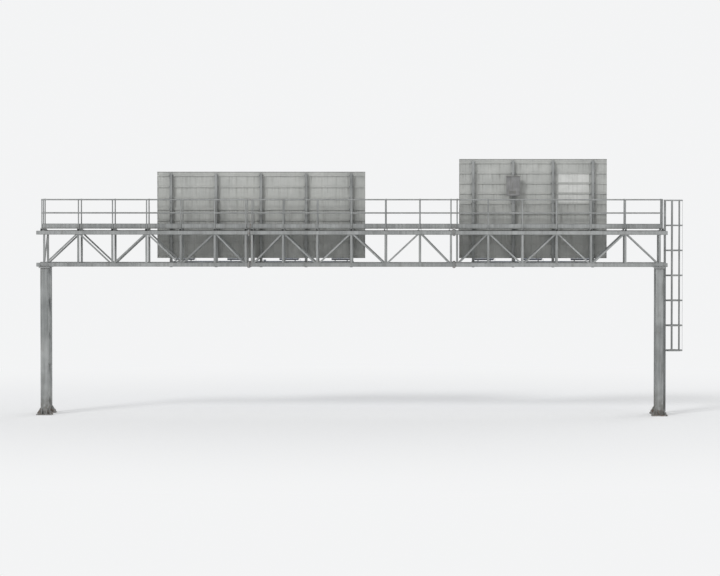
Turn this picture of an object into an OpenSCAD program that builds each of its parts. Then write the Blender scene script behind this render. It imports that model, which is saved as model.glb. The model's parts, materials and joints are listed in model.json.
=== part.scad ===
// Overhead sign gantry: a steel lattice portal that carries two direction signs over a road.
// The span runs along X, the road runs along Y and the signs face +Y. Z = 0 is the underside of
// the base plates, and the origin is the middle of the four column bases.

/* [Portal] */
// Distance between the centrelines of the two legs
span = 24000; // [22000:500:28000]
// Height of the boom's underside above the base plates' underside
headroom = 5800; // [5300:50:6500]

/* [Boom] */
// Depth of the boom, over its chords
boom_h = 1400; // [1200:50:1800]
// Width of the boom, over its chords
boom_w = 1500; // [1400:50:1900]
// Side of a square chord tube
chord = 150; // [120:10:180]
// Cut corner of a chord tube
chord_corner = 14; // [8:1:20]
// Side of a square upright or cross bar
web = 80; // [65:5:90]
// Side of a square diagonal
brace = 60; // [45:5:60]
// Bays in each of the boom's three lengths
bays = 6; // [5:1:8]
// How far the chords run past the legs' centrelines
overhang = 300; // [260:10:400]
// Thickness of a chord's splice plate
splice_t = 20; // [15:1:30]
// How far a splice plate stands out past its chord
splice_lip = 50; // [40:5:60]
// Clear distance from a splice plate to the first web bar
splice_clear = 60; // [40:5:100]
// Side of a square diagonal across the boom, at the legs and splices
sway = 50; // [40:5:55]

/* [Legs] */
// Width of a column along the span
col_x = 300; // [250:10:350]
// Width of a column along the road
col_y = 200; // [160:10:220]
// Corner radius of a column
col_corner = 25; // [15:5:35]
// Length of a base plate along the span
base_x = 620; // [600:10:700]
// Width of a base plate along the road
base_y = 520; // [500:10:600]
// Thickness of a base plate
base_t = 40; // [30:1:50]
// Distance between bolt holes along the span
bolt_dx = 500; // [480:10:520]
// Distance between bolt holes along the road
bolt_dy = 400; // [380:10:420]
// Radius of a bolt hole
bolt_r = 16; // [12:1:18]
// Height of a stiffener on a base plate
rib_h = 240; // [150:10:300]
// Thickness of a stiffener
rib_t = 15; // [10:1:20]
// Square end of a stiffener, at its toe and its top
rib_toe = 20; // [15:5:30]
// Distance from a stiffener's toe to the edge of its plate
rib_edge = 20; // [10:5:25]
// Distance from a column's side face to the middle of a stiffener
rib_in = 50; // [45:5:60]
// Thickness of the plates between a column and the boom
seat_t = 25; // [20:1:40]
// How far these plates stand out past the column
seat_lip = 55; // [45:5:70]
// Height of a stiffener on a seat plate
seat_rib_h = 100; // [80:5:105]
// Distance from a seat plate's edge to the middle of a stiffener
seat_rib_in = 40; // [30:5:60]
// Height of the lowest leg bar above the base plates
brace_low = 560; // [400:10:800]
// Panels of bracing in a leg
brace_panels = 4; // [3:1:5]

/* [Walkway] */
// Width of the grating
walk_w = 1100; // [900:10:1120]
// Thickness of the grating
grating_t = 30; // [25:1:40]
// Gap between grating panels
panel_gap = 6; // [4:1:12]
// How far the walkway runs past the legs' centrelines
landing = 150; // [130:10:180]
// Width of a walkway bearer
bearer_w = 100; // [80:5:110]
// Height of a walkway bearer
bearer_h = 80; // [70:5:100]
// Wall of a walkway bearer
bearer_wall = 8; // [6:1:12]

/* [Handrail] */
// Height of the top rail's centreline above the grating
rail_h = 1100; // [1000:10:1200]
// Height of the knee rail's centreline above the grating
knee_h = 580; // [500:10:650]
// Radius of a handrail post
post_r = 24.15; // [21:0.05:30]
// Radius of a rail
rail_r = 21.2; // [16:0.1:21.5]
// Height of the toe board above the grating
toe_h = 150; // [100:10:160]
// Thickness of the toe board
toe_t = 6; // [4:1:8]
// Gap between the grating's edge and the toe board
toe_gap = 10; // [8:1:15]
// Width of the way through the rails to the ladder
gate_w = 620; // [580:10:700]

/* [Ladder] */
// Width between the stringers
ladder_w = 450; // [400:10:500]
// Depth of a stringer
stringer_d = 65; // [60:1:80]
// Thickness of a stringer
stringer_t = 12; // [10:1:15]
// Radius of a rung
rung_r = 12; // [10:0.5:14]
// Distance between rungs
rung_pitch = 300; // [250:5:300]
// Height of the stringers' feet above the base plates' underside
ladder_low = 150; // [100:10:250]
// Clear distance from the walkway's edge to the stringers
ladder_gap = 50; // [40:5:60]
// Height of a bracket's flat
bracket_h = 60; // [45:5:60]
// Inner radius of the safety cage
cage_r = 350; // [340:5:370]
// Height of the lowest hoop
cage_low = 2500; // [2200:50:2800]
// Hoops in the safety cage
hoops = 7; // [5:1:8]
// Height of a hoop's flat
hoop_h = 50; // [40:5:60]
// Thickness of the cage's flats
hoop_t = 8; // [6:1:10]
// Width of an upright strap of the cage
strap_w = 40; // [30:5:50]

/* [Signs] */
// Height of the signs' lower edge
sign_low = 6100; // [6100:10:6300]
// Distance from the left leg's centreline to the left sign
left_in = 4300; // [4200:50:4500]
// Width of the left sign
left_w = 8200; // [7600:100:8400]
// Height of the left sign
left_h = 3400; // [3000:50:3800]
// Posts behind the left sign
left_posts = 5; // [5:1:6]
// Distance from the right leg's centreline to the right sign
right_in = 2000; // [1900:50:2100]
// Width of the right sign
right_w = 5800; // [5200:100:6000]
// Height of the right sign
right_h = 3900; // [3600:50:4200]
// Posts behind the right sign
right_posts = 4; // [4:1:5]
// Distance from a sign's edge to its first post
post_in = 550; // [400:10:650]
// How far the posts stop below a sign's upper edge
post_short = 60; // [20:10:100]
// Thickness of a cleat between a chord and a sign post
cleat_t = 12; // [10:1:20]
// How far a cleat stands past its chord, above and below
cleat_lip = 60; // [50:5:70]
// Thickness of a sign's sheet
sheet_t = 4; // [3:0.5:6]
// Wall of the rim and of the rails behind the sheet
rail_wall = 4; // [3:0.5:5]
// Depth of the rim and of the rails behind the sheet
rail_d = 40; // [30:5:50]
// Height of a rail
rail_tall = 60; // [50:5:70]
// Distance between rails, about
rail_pitch = 420; // [350:10:500]
// Distance from a sign's edge to the middle of its first rail
rail_in = 150; // [100:10:200]
// Depth of a sign post
ub_h = 178; // [150:1:200]
// Width of a sign post's flange
ub_b = 102; // [90:1:120]
// Thickness of a sign post's web
ub_web = 7; // [5:0.5:9]
// Thickness of a sign post's flange
ub_flange = 9; // [7:0.5:12]

/* [Lights] */
// How far a lamp arm reaches out from the sign posts
arm_l = 1400; // [1200:50:1600]
// Side of a square arm
arm = 60; // [50:5:70]
// Height of the arms' centreline above the boom's underside
arm_up = 120; // [90:5:130]
// Lamps under the left sign
left_lamps = 4; // [3:1:5]
// Lamps under the right sign
right_lamps = 3; // [2:1:4]
// Length of a lamp
lamp_l = 760; // [600:10:800]
// Depth of a lamp, front to back
lamp_d = 260; // [220:10:300]
// Height of a lamp
lamp_h = 150; // [120:5:180]
// Height of a lamp's low edge, on the sign's side
lamp_low = 42; // [30:2:50]
// Depth of a lamp's crest
lamp_crest = 52; // [40:2:60]
// Cut corners along a lamp's back
lamp_cut = 26; // [10:2:35]
// Frame round a lamp's glass
lamp_rim = 16; // [10:1:20]
// How deep the glass lies in its frame
lamp_recess = 8; // [5:1:12]
// Height of the feet that a lamp stands on
lamp_up = 34; // [20:2:50]
// Width of a lamp's foot
lamp_foot = 40; // [30:5:60]
// Distance from a lamp's end to its foot
lamp_foot_in = 120; // [80:10:160]

/* [Services] */
// Width of the cable tray
tray_w = 225; // [150:25:300]
// Depth of the cable tray
tray_d = 50; // [40:5:60]
// Thickness of the tray's sheet
tray_t = 3; // [2:0.5:4]
// Distance from the boom's middle to the tray's
tray_y = 300; // [240:10:360]
// Width of the cable duct down the right leg
duct_w = 100; // [75:5:150]
// Depth of the cable duct
duct_d = 60; // [40:5:75]
// Height of the duct's lower end
duct_low = 350; // [300:50:600]
// Gap between the duct and the tray
duct_gap = 10; // [6:1:20]
// Width of the control cabinet
cab_w = 520; // [400:10:600]
// Depth of the control cabinet
cab_d = 230; // [200:10:250]
// Height of the control cabinet
cab_h = 760; // [600:10:800]
// Height of the cabinet's underside above the top rail
cab_up = 120; // [60:10:200]
// Distance from the cabinet's edges to its door
door_in = 22; // [15:1:30]
// How far the door stands out
door_t = 12; // [8:1:15]
// Thickness of the cabinet's roof sheet
roof_t = 12; // [8:1:15]
// How far the roof stands out at the sides and over the door
roof_lip = 30; // [20:1:40]
// Radius of a hinge
hinge_r = 8; // [6:0.5:9]
// Length of a hinge
hinge_l = 90; // [60:10:120]
// Depth of the two rails that the cabinet hangs on
hang_d = 21; // [15:1:30]
// Height of these rails
hang_h = 41; // [30:1:50]
// Distance from the cabinet's top and bottom to these rails
hang_in = 110; // [60:10:150]

/* [Hidden] */

steel = [0.56, 0.58, 0.58];
dark_steel = [0.44, 0.46, 0.47];
alloy = [0.66, 0.67, 0.65];
lamp_grey = [0.35, 0.37, 0.38];

// Which of the boom's three lengths
LEFT = 0;
MID = 1;
RIGHT = 2;
// Which side of the boom: the signs' side is the front
FRONT = 1;
REAR = -1;

round_fn = 48;
overlap = 2;              // how deep a welded piece runs into the one that carries it

half = span / 2;
length = span / 3;        // one of the boom's three lengths
bay = length / bays;
boom_top = headroom + boom_h;
chord_y = (boom_w - chord) / 2;
inner_y = boom_w / 2 - chord;      // the chords' inner faces
low_z = headroom + chord / 2;      // centreline of the bottom chords
high_z = boom_top - chord / 2;     // centreline of the top chords
splice_in = splice_t + splice_clear + web / 2;
splice_x = length / 2;             // splices to each side of the middle
rib_gap = 8;                       // clear distance between a stiffener and its neighbours
splice_rib = splice_clear + (web - bearer_w) / 2 - rib_gap;

leg_top = headroom - seat_t;       // where a column's cap meets the boom's seat plate
cap_x = col_x + 2 * seat_lip;
cap_y = col_y + 2 * seat_lip;
brace_high = leg_top - seat_t - web;

walk_low = boom_top + bearer_h;
walk_top = walk_low + grating_t;
walk_end = half + landing;
toe_y = walk_w / 2 + toe_gap;
rail_y = toe_y + toe_t - overlap + post_r;   // centreline of the handrail's posts
end_post_x = walk_end - bearer_w / 2;
foot_t = 10;                                 // handrail foot plates
foot_x = 90;
foot_y = 2 * (rail_y - walk_w / 2 - overlap);

ladder_x = walk_end + ladder_gap + stringer_d / 2;
ladder_top = walk_top + rail_h;
cage_x = ladder_x + cage_r - rung_r;
cage_step = (ladder_top - hoop_h - cage_low) / (hoops - 1);
hoop_reach = 125;                  // degrees each side of the cage's back
hoop_bends = 15;                   // straight stretches round a hoop, three to a strap
rungs = floor((walk_top - ladder_low - 2 * rung_r) / rung_pitch);

left_x = -half + left_in + left_w / 2;       // middles of the signs
right_x = half - right_in - right_w / 2;
sign_posts_y = boom_w / 2 + cleat_t;         // the posts' rear flanges lie on the cleats
sign_rails_y = sign_posts_y + ub_h;
sheet_y = sign_rails_y + rail_d;
arm_z = headroom + arm_up;
beam_y = sign_rails_y + arm_l - arm / 2;     // centreline of the beam that carries the lamps
cab_y = sign_posts_y - hang_d;               // back of the cabinet

// Outline helpers
function corner(cx, cy, r, from, steps) =
    [for (k = [0:steps]) [cx + r * cos(from + 90 * k / steps), cy + r * sin(from + 90 * k / steps)]];

function tube_outline(w, d, r, steps) = concat(
    corner(w / 2 - r, d / 2 - r, r, 0, steps),
    corner(-w / 2 + r, d / 2 - r, r, 90, steps),
    corner(-w / 2 + r, -d / 2 + r, r, 180, steps),
    corner(w / 2 - r, -d / 2 + r, r, 270, steps));

// Place of panel point i in one of the boom's lengths
function panel_x(s, i) = -half + s * length + i * bay
    + (i == 0 && s > LEFT ? splice_in : 0)
    - (i == bays && s < RIGHT ? splice_in : 0);

// Place of bearer and handrail post i in one of the boom's lengths
function bearer_x(s, i) =
    s == LEFT && i == 0 ? -end_post_x :
    s == RIGHT && i == bays ? end_post_x : panel_x(s, i);

// Ends of a length of walkway or handrail
function walk_from(s) = s == LEFT ? -walk_end : -half + s * length + panel_gap / 2;
function walk_to(s) = s == RIGHT ? walk_end : -half + (s + 1) * length - panel_gap / 2;

// Direction of bend k of a hoop, seen from the cage's middle
function hoop_angle(k) = -hoop_reach + 2 * hoop_reach * k / hoop_bends;

// One edge of a hoop, out mm outside its inner face, from one stringer round to the other
function hoop_edge(out, way) = let (
    r = (cage_r + out) / cos(hoop_reach / hoop_bends),
    y = ladder_w / 2 + stringer_t + out,
    round = [for (k = [0:hoop_bends]) [cage_x + r * cos(hoop_angle(k)), r * sin(hoop_angle(k))]],
    ends = [for (side = [-1, 1]) [ladder_x + stringer_d / 2, side * y]],
    tips = [for (side = [-1, 1]) [ladder_x - stringer_d / 2, side * y]],
    points = concat([tips[0], ends[0]], round, [ends[1], tips[1]]),
    last = len(points) - 1)
    [for (k = [0:last]) points[way > 0 ? k : last - k]];

// Place k of n even places across a sign, the first one inset from its edge
function spread(mid, w, inset, n, k) = mid - w / 2 + inset + k * (w - 2 * inset) / (n - 1);

// A place moved along the chord, where it would meet a splice
function beside_splice(x) = let (
    from_splice = abs(x) - splice_x,
    keep = splice_t + splice_rib + ub_b / 2 + rib_gap,
    move = max(0, keep - abs(from_splice)))
    x + sign(x) * (from_splice < 0 ? -move : move);

// Place of post k of n behind a sign
function post_x(mid, w, n, k) = beside_splice(spread(mid, w, post_in, n, k));

// Places of all the sign posts
function all_posts() = concat(
    [for (k = [0:left_posts - 1]) post_x(left_x, left_w, left_posts, k)],
    [for (k = [0:right_posts - 1]) post_x(right_x, right_w, right_posts, k)]);

// An outline, in Y and Z, drawn out along X
module along_x(x0, x1) {
    translate([x0, 0, 0]) rotate([90, 0, 90]) linear_extrude(x1 - x0) children();
}

// A round bar along X
module rod_x(x0, x1, r) {
    translate([x0, 0, 0]) rotate([0, 90, 0]) cylinder(h = x1 - x0, r = r, $fn = round_fn);
}

// A round bar along Y
module rod_y(y0, y1, r) {
    translate([0, y0, 0]) rotate([-90, 0, 0]) cylinder(h = y1 - y0, r = r, $fn = round_fn);
}

// A square bar between two points of an upright plane along the span
module bar_xz(a, b, side) {
    run = b - a;
    translate([a[0], 0, a[1]]) rotate([0, -atan2(run[1], run[0]), 0])
        translate([0, -side / 2, -side / 2]) cube([norm(run), side, side]);
}

// A square bar between two points of a level plane
module bar_xy(a, b, side) {
    run = b - a;
    translate([a[0], a[1], 0]) rotate([0, 0, atan2(run[1], run[0])])
        translate([0, -side / 2, -side / 2]) cube([norm(run), side, side]);
}

// A square bar between two points of an upright plane along the road
module bar_yz(a, b, side) {
    run = b - a;
    translate([0, a[0], a[1]]) rotate([atan2(run[1], run[0]), 0, 0])
        translate([-side / 2, 0, -side / 2]) cube([side, norm(run), side]);
}

// Boom

// One side of a boom length: two chords with their web bars, splices, leg seats and cleats
module boom_side(s, side) {
    from = -half + s * length - (s == LEFT ? overhang : 0);
    to = -half + (s + 1) * length + (s == RIGHT ? overhang : 0);
    color(steel) translate([0, side * chord_y, 0]) {
        for (z = [low_z, high_z]) {
            translate([0, 0, z]) along_x(from, to)
                polygon(tube_outline(chord, chord, chord_corner, 1));
            if (s > LEFT) translate([from, 0, z]) splice();
            if (s < RIGHT) translate([to, 0, z]) mirror([1, 0, 0]) splice();
            if (side == FRONT)
                for (x = all_posts())
                    if (x > from && x < to) translate([x, 0, z]) cleat();
        }
        for (i = [0:bays])
            bar_xz([panel_x(s, i), low_z], [panel_x(s, i), high_z], web);
        for (i = [0:bays - 1]) {
            rises = (s * bays + i) % 2 == 0;
            bar_xz([panel_x(s, i), rises ? low_z : high_z],
                   [panel_x(s, i + 1), rises ? high_z : low_z], brace);
        }
        if (s == LEFT) leg_seat(-half);
        if (s == RIGHT) leg_seat(half);
    }
}

// A stiffener in X and Z that stands on a plate at Z = 0 and leans on a face at X = 0
module stiffener(reach, height) {
    translate([0, rib_t / 2, 0]) rotate([90, 0, 0]) linear_extrude(rib_t) polygon([
        [-overlap, -overlap], [reach, -overlap], [reach, rib_toe],
        [rib_toe, height], [-overlap, height]]);
}

// Plate on the left end of a chord, with a stiffener on each of the chord's faces
module splice() {
    side = chord + 2 * splice_lip;
    translate([0, -side / 2, -side / 2]) cube([splice_t, side, side]);
    for (turn = [0:90:270])
        rotate([turn, 0, 0]) translate([splice_t, 0, chord / 2])
            stiffener(splice_rib, splice_lip - rib_gap);
}

// Plate on a chord's outer face, for a sign post
module cleat() {
    translate([-ub_b / 2, chord / 2 - overlap, -chord / 2 - cleat_lip])
        cube([ub_b, cleat_t + overlap, chord + 2 * cleat_lip]);
}

// Plate under a bottom chord, with stiffeners up the chord's two sides
module leg_seat(x) {
    translate([x - cap_x / 2, -cap_y / 2, leg_top]) cube([cap_x, cap_y, seat_t]);
    for (at = [seat_rib_in - cap_x / 2, cap_x / 2 - seat_rib_in], turn = [90, -90])
        translate([x + at, 0, headroom]) rotate([0, 0, turn]) translate([chord / 2, 0, 0])
            stiffener((cap_y - chord) / 2 - rib_edge, seat_rib_h);
}

// Lacing between the chords, in the boom's top or bottom
module boom_lacing(s, z) {
    color(steel) translate([0, 0, z]) intersection() {
        union() {
            for (i = [0:bays])
                bar_xy([panel_x(s, i), -boom_w / 2], [panel_x(s, i), boom_w / 2], web);
            for (i = [0:bays - 1]) {
                turn = (s * bays + i) % 2 == 0 ? 1 : -1;
                bar_xy([panel_x(s, i), -turn * inner_y], [panel_x(s, i + 1), turn * inner_y], brace);
            }
        }
        translate([-half - overhang, -inner_y, -chord / 2])
            cube([span + 2 * overhang, 2 * inner_y, chord]);
    }
}

// Diagonals across the boom between its top and bottom lacing, at the legs and splices
module sway_frames() {
    from_z = low_z + web / 2;
    to_z = high_z - web / 2;
    color(steel) intersection() {
        for (s = [LEFT, MID, RIGHT], i = [0, bays]) {
            lean = i == 0 ? inner_y : -inner_y;
            translate([panel_x(s, i), 0, 0]) bar_yz([-lean, from_z], [lean, to_z], sway);
        }
        translate([-half - overhang, -inner_y, from_z])
            cube([span + 2 * overhang, 2 * inner_y, to_z - from_z]);
    }
}

// Legs

module column(x, side) {
    color(steel) translate([x, side * chord_y, 0]) {
        difference() {
            translate([-base_x / 2, -base_y / 2, 0]) cube([base_x, base_y, base_t]);
            for (dx = [-1, 1], dy = [-1, 1])
                translate([dx * bolt_dx / 2, dy * bolt_dy / 2, -overlap])
                    cylinder(h = base_t + 2 * overlap, r = bolt_r, $fn = round_fn);
        }
        translate([0, 0, base_t - overlap]) linear_extrude(leg_top - base_t)
            polygon(tube_outline(col_x, col_y, col_corner, 3));
        translate([-cap_x / 2, -cap_y / 2, leg_top - seat_t]) cube([cap_x, cap_y, seat_t]);
        for (turn = [0, 180], at = [-1, 1]) {
            rotate([0, 0, turn]) translate([col_x / 2, at * (col_y / 2 - rib_in), base_t])
                stiffener((base_x - col_x) / 2 - rib_edge, rib_h);
            rotate([0, 0, turn + 90]) translate([col_y / 2, at * (col_x / 2 - rib_in), base_t])
                stiffener((base_y - col_y) / 2 - rib_edge, rib_h);
        }
    }
}

// Bars between the two columns of a leg
module leg_bracing(x) {
    step = (brace_high - brace_low) / brace_panels;
    y_in = chord_y - col_y / 2;
    color(steel) translate([x, 0, 0]) intersection() {
        union() {
            for (k = [0:brace_panels])
                bar_yz([-chord_y, brace_low + k * step], [chord_y, brace_low + k * step], web);
            for (k = [0:brace_panels - 1]) {
                turn = k % 2 == 0 ? 1 : -1;
                bar_yz([-turn * y_in, brace_low + k * step],
                       [turn * y_in, brace_low + (k + 1) * step], brace);
            }
        }
        translate([-web, -y_in, 0]) cube([2 * web, 2 * y_in, leg_top]);
    }
}

// Walkway

// Grating panels that meet over the bearers
module walkway(s) {
    color(dark_steel) for (i = [0:bays - 1]) {
        from = i == 0 ? walk_from(s) : panel_x(s, i) + panel_gap / 2;
        to = i == bays - 1 ? walk_to(s) : panel_x(s, i + 1) - panel_gap / 2;
        translate([from, -walk_w / 2, walk_low]) cube([to - from, walk_w, grating_t]);
    }
}

// Channels across the top chords, open side down
module walkway_bearers() {
    len_y = boom_w - 2 * splice_lip;
    color(steel) for (s = [LEFT, MID, RIGHT], i = [0:bays])
        translate([bearer_x(s, i), len_y / 2, boom_top]) rotate([90, 0, 0])
            linear_extrude(len_y) polygon([
                [-bearer_w / 2, 0], [-bearer_w / 2 + bearer_wall, 0],
                [-bearer_w / 2 + bearer_wall, bearer_h - bearer_wall],
                [bearer_w / 2 - bearer_wall, bearer_h - bearer_wall],
                [bearer_w / 2 - bearer_wall, 0], [bearer_w / 2, 0],
                [bearer_w / 2, bearer_h], [-bearer_w / 2, bearer_h]]);
}

// Handrail

// A post from its foot plate on a bearer up to the top rail
module rail_post() {
    translate([-foot_x / 2, -foot_y / 2, walk_low]) cube([foot_x, foot_y, foot_t]);
    translate([0, 0, walk_low + overlap])
        cylinder(h = walk_top + rail_h - walk_low - overlap, r = post_r, $fn = round_fn);
}

module handrail(s, side) {
    from = s == LEFT ? bearer_x(s, 0) - post_r : walk_from(s);
    to = s == RIGHT ? bearer_x(s, bays) + post_r : walk_to(s);
    color(steel) {
        for (i = [0:bays])
            translate([bearer_x(s, i), side * rail_y, 0]) rail_post();
        for (h = [knee_h, rail_h])
            translate([0, side * rail_y, walk_top + h]) rod_x(from, to, rail_r);
        translate([from, side > 0 ? toe_y : -toe_y - toe_t, walk_top])
            cube([to - from, toe_t, toe_h]);
    }
}

// Rails across the end of the walkway, from one side's end post to y0
module cross_rails(x, y0) {
    for (h = [knee_h, rail_h])
        difference() {
            translate([x, 0, walk_top + h]) rod_y(y0, rail_y, rail_r);
            translate([x, rail_y, walk_low]) cylinder(h = 2 * rail_h, r = post_r, $fn = round_fn);
        }
}

// The closed end, over the left leg
module handrail_end() {
    color(steel) {
        cross_rails(-end_post_x, 0);
        mirror([0, 1, 0]) cross_rails(-end_post_x, 0);
        translate([-end_post_x, 0, 0]) end_post();
        translate([-end_post_x - post_r - toe_t + overlap, -toe_y, walk_top])
            cube([toe_t, 2 * toe_y, toe_h]);
    }
}

// A post with its foot plate on the end of the grating
module end_post() {
    translate([-foot_x / 2, -foot_x / 2, walk_top]) cube([foot_x, foot_x, foot_t]);
    translate([0, 0, walk_top + overlap])
        cylinder(h = rail_h - overlap, r = post_r, $fn = round_fn);
}

// Short rails beside the way through to the ladder
module landing_rails() {
    color(steel) for (side = [0, 1])
        mirror([0, side, 0]) {
            cross_rails(end_post_x, gate_w / 2 + post_r);
            translate([end_post_x, gate_w / 2 + post_r, 0]) end_post();
        }
}

// Ladder

module ladder() {
    step = (brace_high - brace_low) / brace_panels;
    holds = concat([for (k = [0:brace_panels]) brace_low + k * step], [low_z, high_z]);
    color(steel) {
        for (side = [-1, 1])
            translate([ladder_x - stringer_d / 2, side * (ladder_w + stringer_t) / 2 - stringer_t / 2,
                       ladder_low])
                cube([stringer_d, stringer_t, ladder_top - ladder_low]);
        for (k = [1:rungs])
            translate([ladder_x, 0, ladder_low + k * rung_pitch])
                rod_y(-ladder_w / 2 - overlap, ladder_w / 2 + overlap, rung_r);
        for (z = holds, side = [-1, 1])
            ladder_bracket(side, z);
    }
}

// Flat from a stringer back to a bar over the leg's centreline
module ladder_bracket(side, z) {
    y = side * (ladder_w + stringer_t) / 2;
    translate([half + web / 2, y - stringer_t / 2, z - bracket_h / 2])
        cube([ladder_x - stringer_d / 2 - half - web / 2 + overlap, stringer_t, bracket_h]);
    translate([half + web / 2, y - bracket_h / 2, z - bracket_h / 2])
        cube([stringer_t, bracket_h, bracket_h]);
}

// Hoops of bent flat, clamped to the stringers' outer faces, and upright straps inside them
module ladder_cage() {
    color(steel) {
        for (k = [0:hoops - 1])
            translate([0, 0, cage_low + k * cage_step]) linear_extrude(hoop_h)
                polygon(concat(hoop_edge(hoop_t, 1), hoop_edge(0, -1)));
        for (k = [1:hoop_bends / 5:hoop_bends])
            translate([cage_x, 0, cage_low + hoop_t]) rotate([0, 0, hoop_angle(k + 0.5)])
                translate([cage_r - hoop_t + overlap, -strap_w / 2, 0])
                    cube([hoop_t, strap_w, ladder_top - cage_low - 2 * hoop_t]);
    }
}

// Signs

// A flat sheet with a rim folded back round its edge
module sign_face(mid, w, h) {
    color(alloy) difference() {
        translate([mid - w / 2, sheet_y - rail_d, sign_low]) cube([w, rail_d + sheet_t, h]);
        translate([mid - w / 2 + rail_wall, sheet_y - rail_d - overlap, sign_low + rail_wall])
            cube([w - 2 * rail_wall, rail_d + overlap, h - 2 * rail_wall]);
    }
}

// Level channels behind the sheet, open side to the sheet
module sign_rails(mid, w, h) {
    rows = round((h - 2 * rail_in) / rail_pitch);
    step = (h - 2 * rail_in) / rows;
    color(alloy) for (k = [0:rows])
        translate([0, sign_rails_y, sign_low + rail_in + k * step])
            along_x(mid - w / 2 + rail_wall, mid + w / 2 - rail_wall) polygon([
                [0, -rail_tall / 2], [rail_d, -rail_tall / 2],
                [rail_d, -rail_tall / 2 + rail_wall], [rail_wall, -rail_tall / 2 + rail_wall],
                [rail_wall, rail_tall / 2 - rail_wall], [rail_d, rail_tall / 2 - rail_wall],
                [rail_d, rail_tall / 2], [0, rail_tall / 2]]);
}

// I-section posts, bolted to the front chords' cleats
module sign_posts(mid, w, h, n) {
    from_z = headroom - cleat_lip;
    color(steel) for (k = [0:n - 1])
        translate([post_x(mid, w, n, k), sign_posts_y, from_z])
            linear_extrude(sign_low + h - post_short - from_z) polygon([
                [-ub_b / 2, 0], [ub_b / 2, 0], [ub_b / 2, ub_flange], [ub_web / 2, ub_flange],
                [ub_web / 2, ub_h - ub_flange], [ub_b / 2, ub_h - ub_flange], [ub_b / 2, ub_h],
                [-ub_b / 2, ub_h], [-ub_b / 2, ub_h - ub_flange], [-ub_web / 2, ub_h - ub_flange],
                [-ub_web / 2, ub_flange], [-ub_b / 2, ub_flange]]);
}

// Lights

// Arms from the sign posts, with the beam along their ends
module lamp_arms(mid, w, n) {
    color(steel) {
        for (k = [0:n - 1])
            translate([post_x(mid, w, n, k), sign_rails_y, arm_z]) {
                translate([-arm / 2, 0, -arm / 2]) cube([arm, arm_l, arm]);
                translate([-ub_b / 2, 0, -arm]) cube([ub_b, ub_flange, 2 * arm]);
            }
        translate([mid - w / 2 + post_in - arm, beam_y - arm / 2, arm_z - arm / 2])
            cube([w - 2 * post_in + 2 * arm, arm, arm]);
    }
}

// Wedge lamps on the beam, with their glass towards the sign
module lamps(mid, w, n) {
    color(lamp_grey) for (k = [0:n - 1])
        translate([spread(mid, w, post_in + lamp_l / 2 + arm, n, k) - lamp_l / 2, beam_y,
                   arm_z + arm / 2])
            lamp();
}

// A lamp housing with its sunk glass, on two feet
module lamp() {
    low = [-lamp_d / 2, lamp_low];
    crest = [lamp_d / 2 - lamp_crest, lamp_h];
    slope = crest - low;
    difference() {
        translate([0, 0, lamp_up]) along_x(0, lamp_l) polygon([
            [-lamp_d / 2, 0], [lamp_d / 2 - lamp_cut, 0], [lamp_d / 2, lamp_cut],
            [lamp_d / 2, lamp_h - lamp_cut], crest, low]);
        translate([lamp_rim, low[0], lamp_up + low[1]])
            rotate([atan2(slope[1], slope[0]), 0, 0]) translate([0, lamp_rim, -lamp_recess])
                cube([lamp_l - 2 * lamp_rim, norm(slope) - 2 * lamp_rim, 2 * lamp_recess]);
    }
    for (x = [lamp_foot_in, lamp_l - lamp_foot_in - lamp_foot])
        translate([x, -arm / 2, 0]) cube([lamp_foot, arm, lamp_up + overlap]);
}

// Services

// Open tray on the bottom lacing, along the whole boom, and the duct up the leg to it
module cable_tray() {
    tray_z = low_z + web / 2;
    color(steel) {
        translate([0, -tray_y, tray_z]) along_x(-half, half) polygon([
            [-tray_w / 2, 0], [tray_w / 2, 0], [tray_w / 2, tray_d],
            [tray_w / 2 - tray_t, tray_d], [tray_w / 2 - tray_t, tray_t],
            [-tray_w / 2 + tray_t, tray_t], [-tray_w / 2 + tray_t, tray_d], [-tray_w / 2, tray_d]]);
        translate([half - web / 2 - duct_d, -tray_y - duct_w / 2, duct_low])
            cube([duct_d, duct_w, tray_z - duct_gap - duct_low]);
    }
}

// Cabinet behind the right sign's second post, over the top rail
module control_cabinet() {
    x = post_x(right_x, right_w, right_posts, 1);
    z = walk_top + rail_h + rail_r + cab_up;
    color(alloy) translate([x - cab_w / 2, cab_y - cab_d, z]) {
        cube([cab_w, cab_d, cab_h]);
        translate([door_in, -door_t, door_in])
            cube([cab_w - 2 * door_in, door_t + overlap, cab_h - 2 * door_in]);
        translate([-roof_lip, 0, cab_h - overlap]) along_x(0, cab_w + 2 * roof_lip) polygon([
            [-roof_lip - door_t, 0], [cab_d, 0], [cab_d, roof_lip], [-roof_lip - door_t, roof_t]]);
        for (at = [hang_in, cab_h - hang_in])
            translate([0, cab_d - overlap, at - hang_h / 2]) cube([cab_w, hang_d + overlap, hang_h]);
        for (at = [hang_in, cab_h - hang_in - hinge_l])
            translate([door_in, -door_t, at]) cylinder(h = hinge_l, r = hinge_r, $fn = round_fn);
    }
}

boom_side(LEFT, FRONT);  // boom_left_front
boom_side(LEFT, REAR);  // boom_left_rear
boom_lacing(LEFT, high_z);  // boom_left_top
boom_lacing(LEFT, low_z);  // boom_left_bottom
boom_side(MID, FRONT);  // boom_mid_front
boom_side(MID, REAR);  // boom_mid_rear
boom_lacing(MID, high_z);  // boom_mid_top
boom_lacing(MID, low_z);  // boom_mid_bottom
boom_side(RIGHT, FRONT);  // boom_right_front
boom_side(RIGHT, REAR);  // boom_right_rear
boom_lacing(RIGHT, high_z);  // boom_right_top
boom_lacing(RIGHT, low_z);  // boom_right_bottom
sway_frames();
column(-half, FRONT);  // column_left_front
column(-half, REAR);  // column_left_rear
column(half, FRONT);  // column_right_front
column(half, REAR);  // column_right_rear
leg_bracing(-half);  // bracing_left
leg_bracing(half);  // bracing_right
walkway(LEFT);  // walkway_left
walkway(MID);  // walkway_mid
walkway(RIGHT);  // walkway_right
walkway_bearers();
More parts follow.
